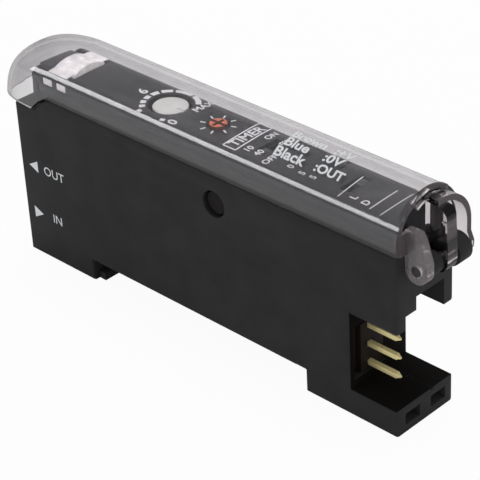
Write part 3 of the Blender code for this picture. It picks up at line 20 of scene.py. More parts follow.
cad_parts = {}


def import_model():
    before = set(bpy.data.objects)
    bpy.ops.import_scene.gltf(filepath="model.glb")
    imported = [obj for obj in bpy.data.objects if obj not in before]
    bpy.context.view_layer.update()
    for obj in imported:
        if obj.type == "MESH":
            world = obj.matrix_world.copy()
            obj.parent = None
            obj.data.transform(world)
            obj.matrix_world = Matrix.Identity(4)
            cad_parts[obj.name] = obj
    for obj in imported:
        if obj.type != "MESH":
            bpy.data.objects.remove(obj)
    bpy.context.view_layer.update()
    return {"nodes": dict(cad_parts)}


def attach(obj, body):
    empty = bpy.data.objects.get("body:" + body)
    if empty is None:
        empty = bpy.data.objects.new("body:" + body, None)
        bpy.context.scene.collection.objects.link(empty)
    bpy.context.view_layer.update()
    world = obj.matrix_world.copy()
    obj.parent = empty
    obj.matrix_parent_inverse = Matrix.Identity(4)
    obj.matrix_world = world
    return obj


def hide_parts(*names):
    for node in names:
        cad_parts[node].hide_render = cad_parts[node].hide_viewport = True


LOG = logging.getLogger("amplifier")
MM = 0.001
MERGE = 0.0005 * MM     # vertices nearer than this are merged
FLAT_ANGLE = 0.5        # degrees, below which neighbouring faces become one
SHARP_ANGLE = 32.0      # degrees, above which an edge is rounded
BAR_SIDES = 48
PRINT_LIFT = 0.012      # how far print stands off a surface, in millimetres
NOISE_SPAN = (0.3, 0.7)
NOISE_ROUGHNESS = 0.55
Point2 = tuple[float, float]
Triple = tuple[float, float, float]


class Plane(Enum):
    """The drawing plane that a flat outline lies in."""

    XZ = "XZ"
    YZ = "YZ"
    XY = "XY"


class Zone(IntEnum):
    """Places in the material list of a piece that has more than one finish."""

    MAIN = 0
    SHADED = 1
    HINGE_END = 2
    NEAR_ARM = 3
    RIM = 4


class Body(Enum):
    """The CAD bodies that pieces ride on."""

    HOUSING = "housing"
    COVER = "cover_body"
    LEVER = "lever_body"
    CLAMP = "clamp_body"
    ADJUSTER = "adjuster_body"
    DIAL = "dial_body"
    TIMER = "timer_body"
    MODE = "mode_body"
    LATCH = "latch_body"


@dataclass(frozen=True)
class Mould:
    """The drawing frame's place in the row frame."""

    shift_x: float = 29.5
    shift_y: float = 4.8

    def place(self, x: float, y: float, z: float) -> Vector:
        """Turns drawing millimetres into row frame metres."""
        return Vector(((x - self.shift_x) * MM, (y - self.shift_y) * MM, z * MM))


MOULD = Mould()


# Modelling


def deselect() -> None:
    """Leaves nothing selected."""
    if bpy.context.object and bpy.context.object.mode != "OBJECT":
        bpy.ops.object.mode_set(mode="OBJECT")
    bpy.ops.object.select_all(action="DESELECT")


def take(item: bpy.types.Object) -> bpy.types.Object:
    """Selects one object alone and makes it active.

    Args:
        item: The object to select.

    Returns:
        The same object.
    """
    deselect()
    item.select_set(True)
    bpy.context.view_layer.objects.active = item
    return item


def settle(item: bpy.types.Object) -> bpy.types.Object:
    """Puts an object's place into its mesh.

    Args:
        item: The object to change.

    Returns:
        The same object.
    """
    take(item)
    bpy.ops.object.transform_apply(location=True, rotation=True, scale=True)
    return item


@contextmanager
def editing(item: bpy.types.Object) -> Iterator[None]:
    """Holds one object in edit mode with its whole mesh selected.

    Args:
        item: The object to open.

    Yields:
        Nothing, while the mesh is open.
    """
    take(item)
    bpy.ops.object.mode_set(mode="EDIT")
    bpy.ops.mesh.select_all(action="SELECT")
    yield
    bpy.ops.object.mode_set(mode="OBJECT")


def tidy_mesh(item: bpy.types.Object, distance: float = MERGE) -> bpy.types.Object:
    """Merges doubles, then points the faces outwards.

    Args:
        item: The object to change.
        distance: How near two vertices are merged, in metres.

    Returns:
        The same object.
    """
    with editing(item):
        bpy.ops.mesh.remove_doubles(threshold=distance)
        bpy.ops.mesh.normals_make_consistent(inside=False)
    return item


def shade(item: bpy.types.Object, angle: float = 35.0) -> bpy.types.Object:
    """Shades smooth, with edges sharper than angle kept.

    Args:
        item: The object to change.
        angle: Degrees above which an edge stays crisp.

    Returns:
        The same object.
    """
    take(item)
    bpy.ops.object.shade_smooth_by_angle(angle=math.radians(angle))
    return item


def apply_modifier(item: bpy.types.Object, kind: str, **settings: object) -> bpy.types.Object:
    """Adds one modifier and applies it.

    Args:
        item: The object to change.
        kind: Blender's name for the modifier.
        settings: Values set on the modifier.

    Returns:
        The same object.
    """
    take(item)
    modifier = item.modifiers.new(kind.lower(), kind)
    for key, value in settings.items():
        setattr(modifier, key, value)
    bpy.ops.object.modifier_apply(modifier=modifier.name)
    return item


def soften(item: bpy.types.Object, width: float, segments: int = 2) -> bpy.types.Object:
    """Rounds an object's sharp edges.

    Args:
        item: The object to change.
        width: The rounding in millimetres.
        segments: Faces across each rounded edge.

    Returns:
        The same object.
    """
    return apply_modifier(item, "BEVEL", width=width * MM, segments=segments,
                          limit_method="ANGLE", angle_limit=math.radians(SHARP_ANGLE),
                          use_clamp_overlap=True, harden_normals=False)


def combine(item: bpy.types.Object, *others: bpy.types.Object,
            operation: str = "UNION") -> bpy.types.Object:
    """Joins or cuts with exact Booleans and removes the tools.

    Args:
        item: The object to change.
        others: The tools.
        operation: Blender's name for the Boolean.

    Returns:
        The same object.
    """
    for other in others:
        apply_modifier(item, "BOOLEAN", object=other, operation=operation, solver="EXACT")
        bpy.data.objects.remove(other, do_unlink=True)
    return item


def block(name: str, low: Sequence[float], high: Sequence[float]) -> bpy.types.Object:
    """A block between two drawing corners.

    Args:
        name: The block's name.
        low: The corner with the lowest values.
        high: The opposite corner.

    Returns:
        The block.
    """
    low_corner, high_corner = MOULD.place(*low), MOULD.place(*high)
    deselect()
    bpy.ops.mesh.primitive_cube_add(size=1, location=(low_corner + high_corner) / 2)
    item = bpy.context.object
    item.name = name
    item.scale = high_corner - low_corner
    return settle(item)


def cross_bar(name: str, start: Sequence[float], length: float,
              radius: float) -> bpy.types.Object:
    """A round bar from a drawing point across the slim width.

    Args:
        name: The bar's name.
        start: The middle of its near end.
        length: Its length in millimetres.
        radius: Its radius in millimetres.

    Returns:
        The bar.
    """
    middle = MOULD.place(*start) + Vector((0, 1, 0)) * length * MM / 2
    deselect()
    bpy.ops.mesh.primitive_cylinder_add(vertices=BAR_SIDES, radius=radius * MM,
                                        depth=length * MM, rotation=(math.pi / 2, 0, 0),
                                        location=middle)
    item = bpy.context.object
    item.name = name
    return settle(item)


def outline_point(plane: Plane, across: float, up: float, depth: float) -> Vector:
    """A point of an outline, in the row frame.

    Args:
        plane: The outline's plane.
        across: The first coordinate.
        up: The second coordinate.
        depth: The place along the third axis.

    Returns:
        The point in metres.
    """
    if plane is Plane.XZ:
        return MOULD.place(across, depth, up)
    if plane is Plane.YZ:
        return MOULD.place(depth, across, up)
    return MOULD.place(across, up, depth)


def plate(name: str, points: Sequence[Point2], plane: Plane, start: float,
          depth: float) -> bpy.types.Object:
    """A flat outline, extruded.

    Args:
        name: The piece's name.
        points: The outline in drawing millimetres, in order.
        plane: The plane that the outline lies in.
        start: Where the plate starts along the third axis.
        depth: Its thickness, or 0 for a single flat face.

    Returns:
        The plate as an object with its place in its mesh.
    """
    deselect()
    bpy.ops.mesh.primitive_circle_add(vertices=len(points), radius=MM, fill_type="NGON")
    item = bpy.context.object
    item.name = name
    for vertex, (across, up) in zip(item.data.vertices, points):
        vertex.co = outline_point(plane, across, up, start)
    if depth:
        move = outline_point(plane, 0, 0, start + depth) - outline_point(plane, 0, 0, start)
        with editing(item):
            bpy.ops.mesh.extrude_region_move(TRANSFORM_OT_translate={"value": move})
        tidy_mesh(item)
    return item


def arc(centre: Point2, radius: float, start: float, end: float, steps: int) -> list[Point2]:
    """Points on an arc, angles in degrees."""
    turns = [math.radians(start + (end - start) * k / steps) for k in range(steps + 1)]
    return [(centre[0] + radius * math.cos(t), centre[1] + radius * math.sin(t)) for t in turns]


def join_all(name: str, items: Sequence[bpy.types.Object]) -> bpy.types.Object:
    """Joins objects into one named piece.

    Args:
        name: The piece's name.
        items: The objects to join.

    Returns:
        The piece.
    """
    deselect()
    for item in items:
        item.select_set(True)
    bpy.context.view_layer.objects.active = items[0]
    if len(items) > 1:
        bpy.ops.object.join()
    items[0].name = name
    return items[0]


def refined(node: str, name: str, edge: float = 0.0, segments: int = 2,
            angle: float = 35.0) -> bpy.types.Object:
    """A cleaned and softened copy of a CAD node, which it then replaces.

    Args:
        node: The CAD node.
        name: The piece's name.
        edge: How far its edges are rounded, in millimetres.
        segments: Faces across each rounded edge.
        angle: Edges sharper than this many degrees stay crisp.

    Returns:
        The copy.
    """
    source = bpy.data.objects[node]
    item = source.copy()
    item.data = source.data.copy()
    for key in list(item.keys()):
        del item[key]
    item.parent = None
    item.matrix_world = Matrix.Identity(4)
    bpy.context.scene.collection.objects.link(item)
    item.name = name
    item.data.materials.clear()
    take(item)
    bpy.ops.mesh.customdata_custom_splitnormals_clear()
    with editing(item):
        bpy.ops.mesh.remove_doubles(threshold=MERGE)
        bpy.ops.mesh.dissolve_limited(angle_limit=math.radians(FLAT_ANGLE))
    if edge:
        soften(item, edge, segments)
    shade(item, angle)
    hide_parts(node)
    return item


def words(name: str, text: str, size: float, bold: float = 0.0) -> bpy.types.Object:
    """Generic lettering as a flat mesh at the origin, in millimetres.

    Args:
        name: The piece's name.
        text: The letters or numbers.
        size: The font's size in millimetres.
        bold: How far their outline grows, in millimetres.

    Returns:
        A mesh object whose letters lie in XY, centred on the origin.
    """
    deselect()
    bpy.ops.object.text_add()
    item = bpy.context.object
    item.name = name
    item.data.body = text
    item.data.size = size * MM
    item.data.align_x = "CENTER"
    item.data.align_y = "CENTER"
    item.data.offset = bold * MM
    item.data.resolution_u = 3
    bpy.ops.object.convert(target="MESH")
    return bpy.context.object


def lay(item: bpy.types.Object, origin: Vector, right: Vector, up: Vector) -> bpy.types.Object:
    """Lays a flat mesh drawn in XY at origin, along right and up.

    Args:
        item: The flat mesh.
        origin: Where its middle goes.
        right: Where its X points.
        up: Where its Y points.

    Returns:
        The same object.
    """
    normal = right.cross(up)
    place = Matrix((right, up, normal)).transposed().to_4x4()
    item.matrix_world = Matrix.Translation(origin) @ place
    return settle(item)


# Finishes


class Bench:
    """Builds one node material."""

    def __init__(self, name: str) -> None:
        """Starts a bare Principled material.

        Args:
            name: The material's name.
        """
        self.material = bpy.data.materials.new(name)
        self.material.use_nodes = True
        self.nodes = self.material.node_tree.nodes
        self.links = self.material.node_tree.links
        self.shader = self.nodes["Principled BSDF"]
        self.output = self.nodes["Material Output"]
        self.place = self.nodes.new("ShaderNodeTexCoord").outputs["Object"]

    def add(self, kind: str, **values: object) -> bpy.types.Node:
        """Adds a node and sets its inputs or its own settings by name.

        Args:
            kind: Blender's name for the node.
            values: Inputs or settings by name.

        Returns:
            The node.
        """
        node = self.nodes.new(kind)
        for key, value in values.items():
            title = key.replace("_", " ")
            if title in node.inputs:
                node.inputs[title].default_value = value
            else:
                setattr(node, key, value)
        return node

    def noise(self, per_mm: float, detail: float = 4.0,
              stretch: Triple = (1, 1, 1)) -> bpy.types.NodeSocket:
        """Noise with per_mm features a millimetre, stretched along each axis.

        Args:
            per_mm: Features a millimetre.
            detail: Blender's detail.
            stretch: A factor for each axis.

        Returns:
            The noise's value.
        """
        mapping = self.add("ShaderNodeMapping")
        mapping.inputs["Scale"].default_value = tuple(per_mm * 1000 * s for s in stretch)
        self.links.new(self.place, mapping.inputs["Vector"])
        node = self.add("ShaderNodeTexNoise", Scale=1.0, Detail=detail,
                        Roughness=NOISE_ROUGHNESS)
        self.links.new(mapping.outputs["Vector"], node.inputs["Vector"])
        return node.outputs["Fac"]

    def ramp(self, source: bpy.types.NodeSocket,
             stops: Sequence[tuple[float, Triple]]) -> bpy.types.NodeSocket:
        """A colour ramp with these stops.

        Args:
            source: The value that picks the colour.
            stops: Places on the ramp with their colours.

        Returns:
            The colour.
        """
        node = self.add("ShaderNodeValToRGB")
        elements = node.color_ramp.elements
        while len(elements) < len(stops):
            elements.new(0.5)
        for element, (position, colour) in zip(elements, stops):
            element.position = position
            element.color = (*colour, 1.0)
        self.links.new(source, node.inputs["Fac"])
        return node.outputs["Color"]

    def span(self, source: bpy.types.NodeSocket, low: float, high: float,
             come_from: Point2 = NOISE_SPAN) -> bpy.types.NodeSocket:
        """A value moved into a range.

        Args:
            source: The value.
            low: The new range's start.
            high: The new range's end.
            come_from: The old range.

        Returns:
            The moved value.
        """
        node = self.add("ShaderNodeMapRange")
        for title, value in zip(("From Min", "From Max", "To Min", "To Max"),
                                (*come_from, low, high)):
            node.inputs[title].default_value = value
        self.links.new(source, node.inputs["Value"])
        return node.outputs["Result"]

    def multiply(self, first: bpy.types.NodeSocket,
                 second: bpy.types.NodeSocket) -> bpy.types.NodeSocket:
        """Two colours multiplied.

        Args:
            first: One colour.
            second: The other colour.

        Returns:
            The product.
        """
        node = self.add("ShaderNodeMix", data_type="RGBA", blend_type="MULTIPLY")
        node.inputs[0].default_value = 1.0
        self.links.new(first, node.inputs[6])
        self.links.new(second, node.inputs[7])
        return node.outputs[2]

    def mix(self, share: float | bpy.types.NodeSocket, first: bpy.types.Node,
            second: bpy.types.Node) -> bpy.types.Node:
        """Two shaders mixed.

        Args:
            share: The second shader's share.
            first: One shader.
            second: The other shader.

        Returns:
            The mixing node.
        """
        node = self.add("ShaderNodeMixShader")
        if isinstance(share, float):
            node.inputs["Fac"].default_value = share
        else:
            self.links.new(share, node.inputs["Fac"])
        self.links.new(first.outputs[0], node.inputs[1])
        self.links.new(second.outputs[0], node.inputs[2])
        return node

    def bump(self, source: bpy.types.NodeSocket, depth: float,
             shader: bpy.types.Node | None = None) -> None:
        """Raises a shader's surface where source is bright.

        Args:
            source: The height.
            depth: The relief in millimetres.
            shader: The shader, or None for the Principled one.
        """
        node = self.add("ShaderNodeBump", Strength=1.0, Distance=depth * MM)
        self.links.new(source, node.inputs["Height"])
        self.links.new(node.outputs["Normal"], (shader or self.shader).inputs["Normal"])

    def feed(self, **sources: bpy.types.NodeSocket) -> None:
        """Links each source to the Principled shader's socket of that name."""
        for key, source in sources.items():
            self.links.new(source, self.shader.inputs[key.replace("_", " ")])

    def set(self, **values: object) -> None:
        """Sets constants straight on the Principled shader's sockets."""
        for key, value in values.items():
            self.shader.inputs[key.replace("_", " ")].default_value = value


@dataclass(frozen=True)
class MouldedPlastic:
    """Moulded resin with a fine spark-eroded texture."""

    name: str
    colour: Triple
    roughness: float = 0.5
    variation: float = 0.12
    grain: float = 9.0
    depth: float = 0.004
    specular: float = 0.3

    def make(self) -> bpy.types.Material:
        """Builds the material.

        Returns:
            The material.
        """
        bench = Bench(self.name)
        dark = tuple(c * (1 - self.variation) for c in self.colour)
        light = tuple(min(1.0, c * (1 + self.variation)) for c in self.colour)
        cloud = bench.noise(0.22, detail=3.0)
        fine = bench.noise(self.grain, detail=2.0)
        bench.feed(Base_Color=bench.ramp(cloud, ((0.3, dark), (0.7, light))),
                   Roughness=bench.span(fine, self.roughness - 0.05, self.roughness + 0.05))
        bench.set(Specular_IOR_Level=self.specular)
        bench.bump(fine, self.depth)
        return bench.material


@dataclass(frozen=True)
class ClearPlastic:
    """Clear moulded resin that lets lamps through and greys where it is seen obliquely."""

    name: str
    tint: Triple
    edge: Triple
    roughness: float = 0.03
    index: float = 1.57
    ripple: float = 0.0015
    haze: float = 0.0
    haze_colour: Triple = (0.30, 0.275, 0.28)
    nose_darkening: Point2 = (-31.0, -20.0)
    nose_darkening_level: float = 0.875

    def make(self) -> bpy.types.Material:
        """Builds glass, with a Transparent side for shadow rays.

        Returns:
            The material.
        """
        bench = Bench(self.name)
        bench.nodes.remove(bench.shader)
        glass = bench.add("ShaderNodeBsdfGlass", IOR=self.index)
        bench.links.new(self.shading(bench), glass.inputs["Color"])
        rough = bench.span(bench.noise(1.4, detail=3.0), self.roughness * 0.6,
                           self.roughness * 1.4)
        bench.links.new(rough, glass.inputs["Roughness"])
        bench.bump(bench.noise(0.25, detail=1.0), self.ripple, glass)
        through = bench.add("ShaderNodeBsdfTransparent", Color=(*self.tint, 1.0))
        matt = bench.add("ShaderNodeBsdfDiffuse", Color=(*self.haze_colour, 1.0))
        path = bench.add("ShaderNodeLightPath")
        seen = bench.mix(path.outputs["Is Shadow Ray"], bench.mix(self.haze, glass, matt),
                         through)
        bench.links.new(seen.outputs["Shader"], bench.output.inputs["Surface"])
        return bench.material

    def shading(self, bench: Bench) -> bpy.types.NodeSocket:
        """The tint, greyer where it is seen obliquely and darker towards the nose.

        Args:
            bench: The material in the making.

        Returns:
            The colour.
        """
        # Greyer where the surface is seen obliquely.
        facing = bench.add("ShaderNodeLayerWeight", Blend=0.5)
        half = tuple((a + 5 * b) / 6 for a, b in zip(self.edge, self.tint))
        most = tuple((a + 3 * b) / 4 for a, b in zip(self.edge, self.tint))
        oblique_grey = bench.ramp(facing.outputs["Facing"],
                          ((0.12, self.tint), (0.55, half), (0.82, most), (0.98, self.edge)))
        streak = bench.ramp(bench.noise(0.35, detail=2.0),
                            ((0.3, (0.965, 0.965, 0.97)), (0.7, (1.0, 1.0, 1.0))))
        # Darker towards the nose, along X.
        apart = bench.add("ShaderNodeSeparateXYZ")
        bench.links.new(bench.place, apart.inputs[0])
        nose_darkening = bench.span(apart.outputs["X"], self.nose_darkening_level, 1.0,
                          (self.nose_darkening[0] * MM, self.nose_darkening[1] * MM))
        return bench.multiply(oblique_grey, bench.multiply(streak, nose_darkening))


@dataclass(frozen=True)
class MilkyPlastic:
    """Cloudy resin with a painted glow: a steady emission brightens it though it is no lamp."""

    name: str
    colour: Triple
    roughness: float = 0.22
    through: float = 0.35
    glow: float = 0.0

    def make(self) -> bpy.types.Material:
        """Builds the material.

        Returns:
            The material.
        """
        bench = Bench(self.name)
        cloud = bench.noise(0.9, detail=4.0)
        dark = tuple(c * 0.74 for c in self.colour)
        tint = bench.ramp(cloud, ((0.32, dark), (0.62, self.colour)))
        bench.feed(Base_Color=tint, Emission_Color=tint,
                   Roughness=bench.span(cloud, self.roughness - 0.05, self.roughness + 0.08))
        # Painted glow: the emission brightens the resin though no lamp lights it.
        bench.set(Transmission_Weight=self.through, IOR=1.49, Emission_Strength=self.glow)
        bench.bump(bench.noise(2.0, detail=2.0), 0.003)
        return bench.material


@dataclass(frozen=True)
class PlainMetal:
    """Metal with fine marks along one axis."""

    name: str
    colour: Triple
    roughness: float = 0.28
    stretch: Triple = (0.1, 1.0, 1.0)
    metallic: float = 1.0

    def make(self) -> bpy.types.Material:
        """Builds the material.

        Returns:
            The material.
        """
        bench = Bench(self.name)
        marks = bench.noise(14.0, detail=3.0, stretch=self.stretch)
        dark = tuple(c * 0.86 for c in self.colour)
        bench.feed(Base_Color=bench.ramp(marks, ((0.3, dark), (0.7, self.colour))),
                   Roughness=bench.span(marks, self.roughness - 0.06, self.roughness + 0.08))
        bench.set(Metallic=self.metallic)
        bench.bump(marks, 0.002)
        return bench.material


@dataclass(frozen=True)
class CircuitBoard:
    """Glass-epoxy board with solder mask over etched tracks."""

    name: str
    mask: Triple = (0.02, 0.12, 0.05)
    track: Triple = (0.05, 0.24, 0.09)

    def make(self) -> bpy.types.Material:
        """Builds the material.

        Returns:
            The material.
        """
        bench = Bench(self.name)
        mapping = bench.add("ShaderNodeMapping")
        mapping.inputs["Scale"].default_value = (900.0, 900.0, 900.0)
        bench.links.new(bench.place, mapping.inputs["Vector"])
        cells = bench.add("ShaderNodeTexVoronoi", Scale=1.0, distance="CHEBYCHEV")
        bench.links.new(mapping.outputs["Vector"], cells.inputs["Vector"])
        tracks = bench.ramp(cells.outputs["Distance"],
                            ((0.30, self.mask), (0.34, self.track)))
        bench.feed(Base_Color=tracks, Roughness=bench.span(bench.noise(6.0), 0.3, 0.42))
        bench.bump(cells.outputs["Distance"], 0.02)
        return bench.material


@dataclass(frozen=True)
class Ink:
    """Screen-printed ink, slightly uneven."""

    name: str
    colour: Triple
    roughness: float = 0.5

    def make(self) -> bpy.types.Material:
        """Builds the material.

        Returns:
            The material.
        """
        bench = Bench(self.name)
        thin = tuple(c * 0.88 for c in self.colour)
        speckle = bench.noise(12.0, detail=3.0)
        bench.feed(Base_Color=bench.ramp(speckle, ((0.35, thin), (0.55, self.colour))),
                   Roughness=bench.span(speckle, self.roughness - 0.08, self.roughness + 0.08))
        bench.set(Specular_IOR_Level=0.3)
        return bench.material


class Paint(Enum):
    """Every finish, by the record's material slot."""

    case_abs = MouldedPlastic("case_abs", (0.031, 0.031, 0.0315), 0.58, specular=0.08)
    panel_abs = MouldedPlastic("panel_abs", (0.012, 0.0115, 0.015), 0.34, specular=0.2)
    clear_cover = ClearPlastic("clear_cover", (0.95, 0.942, 0.947), (0.50, 0.485, 0.49), 0.02)
    # Painted glow: the lens emits light of its own tint.
    clear_lens = MilkyPlastic("clear_lens", (0.86, 0.83, 0.835), through=0.0, glow=0.24)
    steel = PlainMetal("steel", (0.6, 0.6, 0.62))
    led_green = MouldedPlastic("led_green", (0.35, 0.52, 0.38), 0.2, specular=0.5)
    led_orange = MouldedPlastic("led_orange", (0.72, 0.42, 0.25), 0.2, specular=0.5)
    holder_black = MouldedPlastic("holder_black", (0.012, 0.012, 0.012), 0.6, specular=0.2)
    ring_rubber = MouldedPlastic("ring_rubber", (0.02, 0.02, 0.02), 0.75, specular=0.2)
    emitter_red = MouldedPlastic("emitter_red", (0.70, 0.10, 0.08), 0.2, specular=0.5)
    diode_dark = MouldedPlastic("diode_dark", (0.03, 0.02, 0.03), 0.15, specular=0.5)
    lever_abs = MouldedPlastic("lever_abs", (0.06, 0.06, 0.07), 0.4)
    board_green = CircuitBoard("board_green")
    chip_black = MouldedPlastic("chip_black", (0.03, 0.03, 0.03), 0.5)
    sleeve_grey = MouldedPlastic("sleeve_grey", (0.05, 0.048, 0.056), 0.3)
    trimmer_white = MouldedPlastic("trimmer_white", (0.75, 0.75, 0.75), 0.45)
    adjuster_orange = MouldedPlastic("adjuster_orange", (0.62, 0.12, 0.025), 0.32, specular=0.5)
    gear_acetal = MouldedPlastic("gear_acetal", (0.72, 0.72, 0.70), 0.45)
    post_brass = PlainMetal("post_brass", (0.75, 0.58, 0.28), 0.3, (1.0, 1.0, 0.1))
    dial_white = MouldedPlastic("dial_white", (0.68, 0.69, 0.665), 0.45, 0.03)
    knob_white = MouldedPlastic("knob_white", (0.10, 0.10, 0.105), 0.4, 0.03)
    header_nylon = MouldedPlastic("header_nylon", (0.016, 0.011, 0.008), 0.6, specular=0.15)
    gold_plate = PlainMetal("gold_plate", (1.0, 0.86, 0.42), 0.42, metallic=0.3)
    window_dark = MouldedPlastic("window_dark", (0.008, 0.006, 0.007), 0.35, specular=0.08)

    @property
    def material(self) -> bpy.types.Material:
        """The finish's material, built once.

        Returns:
            The material.
        """
        found = bpy.data.materials.get(self.name + "_finish")
        if found is None:
            found = self.value.make()
            found.name = self.name + "_finish"
        return found


WHITE_INK = Ink("white_print", (0.80, 0.81, 0.83))
# Painted shadow: an opaque near-black for the clear cover's seated lower edge, standing in for
# the joint shadow along the housing.
SEAT_SHADOW = MouldedPlastic("seat_painted_shadow", (0.008, 0.008, 0.009), 0.8, specular=0.05)
# Painted shade: the hinge end of the clear cover gets a darker, reddish tint than the rest of
# the same moulding.
HINGE_END_SHADE = ClearPlastic("hinge_end_painted_shade", (0.86, 0.84, 0.843), (0.26, 0.21, 0.21), 0.03)
ARM_FINISH = ClearPlastic("near_arm_clear", (0.93, 0.91, 0.915), (0.5, 0.48, 0.48), 0.03,
                          haze=0.32)
# Painted shade: an opaque dark red-brown for the clear rim end, the ridge's far half and the
# near tie, where clear ends look dark.
RIM_SHADE = MouldedPlastic("rim_painted_shade", (0.075, 0.060, 0.063), 0.4, specular=0.3)
# Painted shade: a near-black colour for the case faces deep in the connector recess, darker than
# the case resin.
RECESS_SHADE = MouldedPlastic("recess_painted_shade", (0.007, 0.006, 0.0055), 0.7, specular=0.04)
SLOT_FINISH = MouldedPlastic("shaded_slot", (0.10, 0.022, 0.008), 0.6, specular=0.1)
PIN_FINISH = MouldedPlastic("blackened_steel", (0.035, 0.032, 0.033), 0.4, specular=0.3)


def extra_material(finish: Ink | MouldedPlastic | ClearPlastic) -> bpy.types.Material:
    """The material of a finish that has no slot in the record, built once."""
    return bpy.data.materials.get(finish.name) or finish.make()


def dress(item: bpy.types.Object, paint: Paint, body: Body) -> bpy.types.Object:
    """Gives a piece its finish and its body.

    Args:
        item: The piece.
        paint: Its finish.
        body: Its body.

    Returns:
        The same object.
    """
    item.data.materials.clear()
    item.data.materials.append(paint.material)
    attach(item, body.value)
    LOG.info("piece %s rides on %s", item.name, body.value)
    return item


def dress_print(item: bpy.types.Object, ink: Ink, body: Body) -> bpy.types.Object:
    """Gives printed marks their ink and their body.

    Args:
        item: The marks.
        ink: Their ink.
        body: Their body.

    Returns:
        The same object.
    """
    item.data.materials.clear()
    item.data.materials.append(extra_material(ink))
    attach(item, body.value)
    LOG.info("print %s rides on %s", item.name, body.value)
    return item


# Sub-assemblies


@dataclass
class Studio:
    """Camera at the photo's place, white surroundings, pale floor, soft lamps."""

    eye: tuple[float, float, float] = (0.145399, -0.138098, 0.133949)
    azimuth: float = 45.782
    elevation: float = 32.205
    roll: float = -0.057
    lens: float = 151.94
    sensor: float = 36.0
    floor_z: float = -2.93
    surround: float = 0.45
    mirrored: float = 0.26
    floor_glow: float = 0.95

    def camera(self) -> None:
        """Sets the camera."""
        a, e = math.radians(self.azimuth), math.radians(self.elevation)
        back = Vector((math.sin(a) * math.cos(e), -math.cos(a) * math.cos(e), math.sin(e)))
        side = Vector((0, 0, 1)).cross(back).normalized()
        up = back.cross(side)
        c, s = math.cos(self.roll), math.sin(self.roll)
        right, top = side * c + up * s, up * c - side * s
        data = bpy.data.cameras.new("studio_camera")
        data.sensor_width = self.sensor
        data.lens = self.lens
        data.clip_start = 0.005
        data.clip_end = 10.0
        item = bpy.data.objects.new("studio_camera", data)
        bpy.context.scene.collection.objects.link(item)
        turn = Matrix((right, top, back)).transposed().to_4x4()
        item.matrix_world = Matrix.Translation(self.eye) @ turn
        bpy.context.scene.camera = item

    def seen_directly(self, tree: bpy.types.NodeTree) -> bpy.types.NodeSocket:
        """1 where the camera sees the surface, also through a clear piece.

        Args:
            tree: The node tree to build in.

        Returns:
            The value.
        """
        path = tree.nodes.new("ShaderNodeLightPath")
        seen = tree.nodes.new("ShaderNodeMath")
        seen.operation = "MAXIMUM"
        tree.links.new(path.outputs["Is Camera Ray"], seen.inputs[0])
        tree.links.new(path.outputs["Is Transmission Ray"], seen.inputs[1])
        return seen.outputs[0]

    def world(self) -> None:
        """White where it is seen, softer as a light."""
        world = bpy.data.worlds.new("studio_world")
        world.use_nodes = True
        tree = world.node_tree
        tree.nodes.clear()
        light = tree.nodes.new("ShaderNodeBackground")
        light.inputs["Color"].default_value = (0.97, 0.98, 1.0, 1.0)
        path = tree.nodes.new("ShaderNodeLightPath")
        level = tree.nodes.new("ShaderNodeMapRange")
        level.inputs["To Min"].default_value = self.surround
        level.inputs["To Max"].default_value = self.mirrored
        tree.links.new(path.outputs["Is Glossy Ray"], level.inputs["Value"])
        tree.links.new(level.outputs["Result"], light.inputs["Strength"])
        white = tree.nodes.new("ShaderNodeBackground")
        white.inputs["Color"].default_value = (1.0, 1.0, 1.0, 1.0)
        white.inputs["Strength"].default_value = 1.0
        mix = tree.nodes.new("ShaderNodeMixShader")
        output = tree.nodes.new("ShaderNodeOutputWorld")
        tree.links.new(self.seen_directly(tree), mix.inputs["Fac"])
        tree.links.new(light.outputs["Background"], mix.inputs[1])
        tree.links.new(white.outputs["Background"], mix.inputs[2])
        tree.links.new(mix.outputs["Shader"], output.inputs["Surface"])
        bpy.context.scene.world = world

    def floor(self) -> None:
        """A pale floor that keeps the object's soft shadow."""
        deselect()
        bpy.ops.mesh.primitive_plane_add(size=3.0, location=(0, 0, self.floor_z * MM))
        item = bpy.context.object
        item.name = "studio_floor"
        bench = Bench("studio_floor")
        bench.nodes.remove(bench.shader)
        matt = bench.add("ShaderNodeBsdfDiffuse", Color=(0.90, 0.90, 0.90, 1.0))
        glow = bench.add("ShaderNodeEmission", Strength=1.0, Color=(1.0, 1.0, 1.0, 1.0))
        part = bench.add("ShaderNodeMath", operation="MULTIPLY")
        part.inputs[1].default_value = self.floor_glow
        bench.links.new(self.seen_directly(bench.material.node_tree), part.inputs[0])
        bench.links.new(bench.mix(part.outputs[0], matt, glow).outputs["Shader"],
                        bench.output.inputs["Surface"])
        item.data.materials.append(bench.material)

    def lamp(self, name: str, place: Sequence[float], size: Point2, power: float) -> None:
        """A soft lamp, size long and tall, that looks at the object.

        Args:
            name: The lamp's name.
            place: Where it stands, in metres.
            size: Its length and height in metres.
            power: Its watts.
        """
        data = bpy.data.lights.new(name, "AREA")
        data.shape = "RECTANGLE"
        data.size, data.size_y = size
        data.energy = power
        item = bpy.data.objects.new(name, data)
        bpy.context.scene.collection.objects.link(item)
        item.location = place
        aim = Vector((0, 0, 0.012)) - Vector(place)
        item.rotation_euler = aim.to_track_quat("-Z", "Y").to_euler()

    def build(self) -> None:
        """Sets up the whole studio."""
        bpy.context.scene.view_settings.view_transform = "Standard"
        self.camera()
        self.world()
        self.floor()
        self.lamp("lamp_above", (-0.05, 0.15, 0.55), (0.35, 0.35), 1.1)
        self.lamp("lamp_front", (-0.364, -0.467, 0.116), (0.55, 0.085), 0.80)
        self.lamp("lamp_end", (0.55, 0.05, 0.25), (0.25, 0.25), 0.45)
        LOG.info("studio ready")


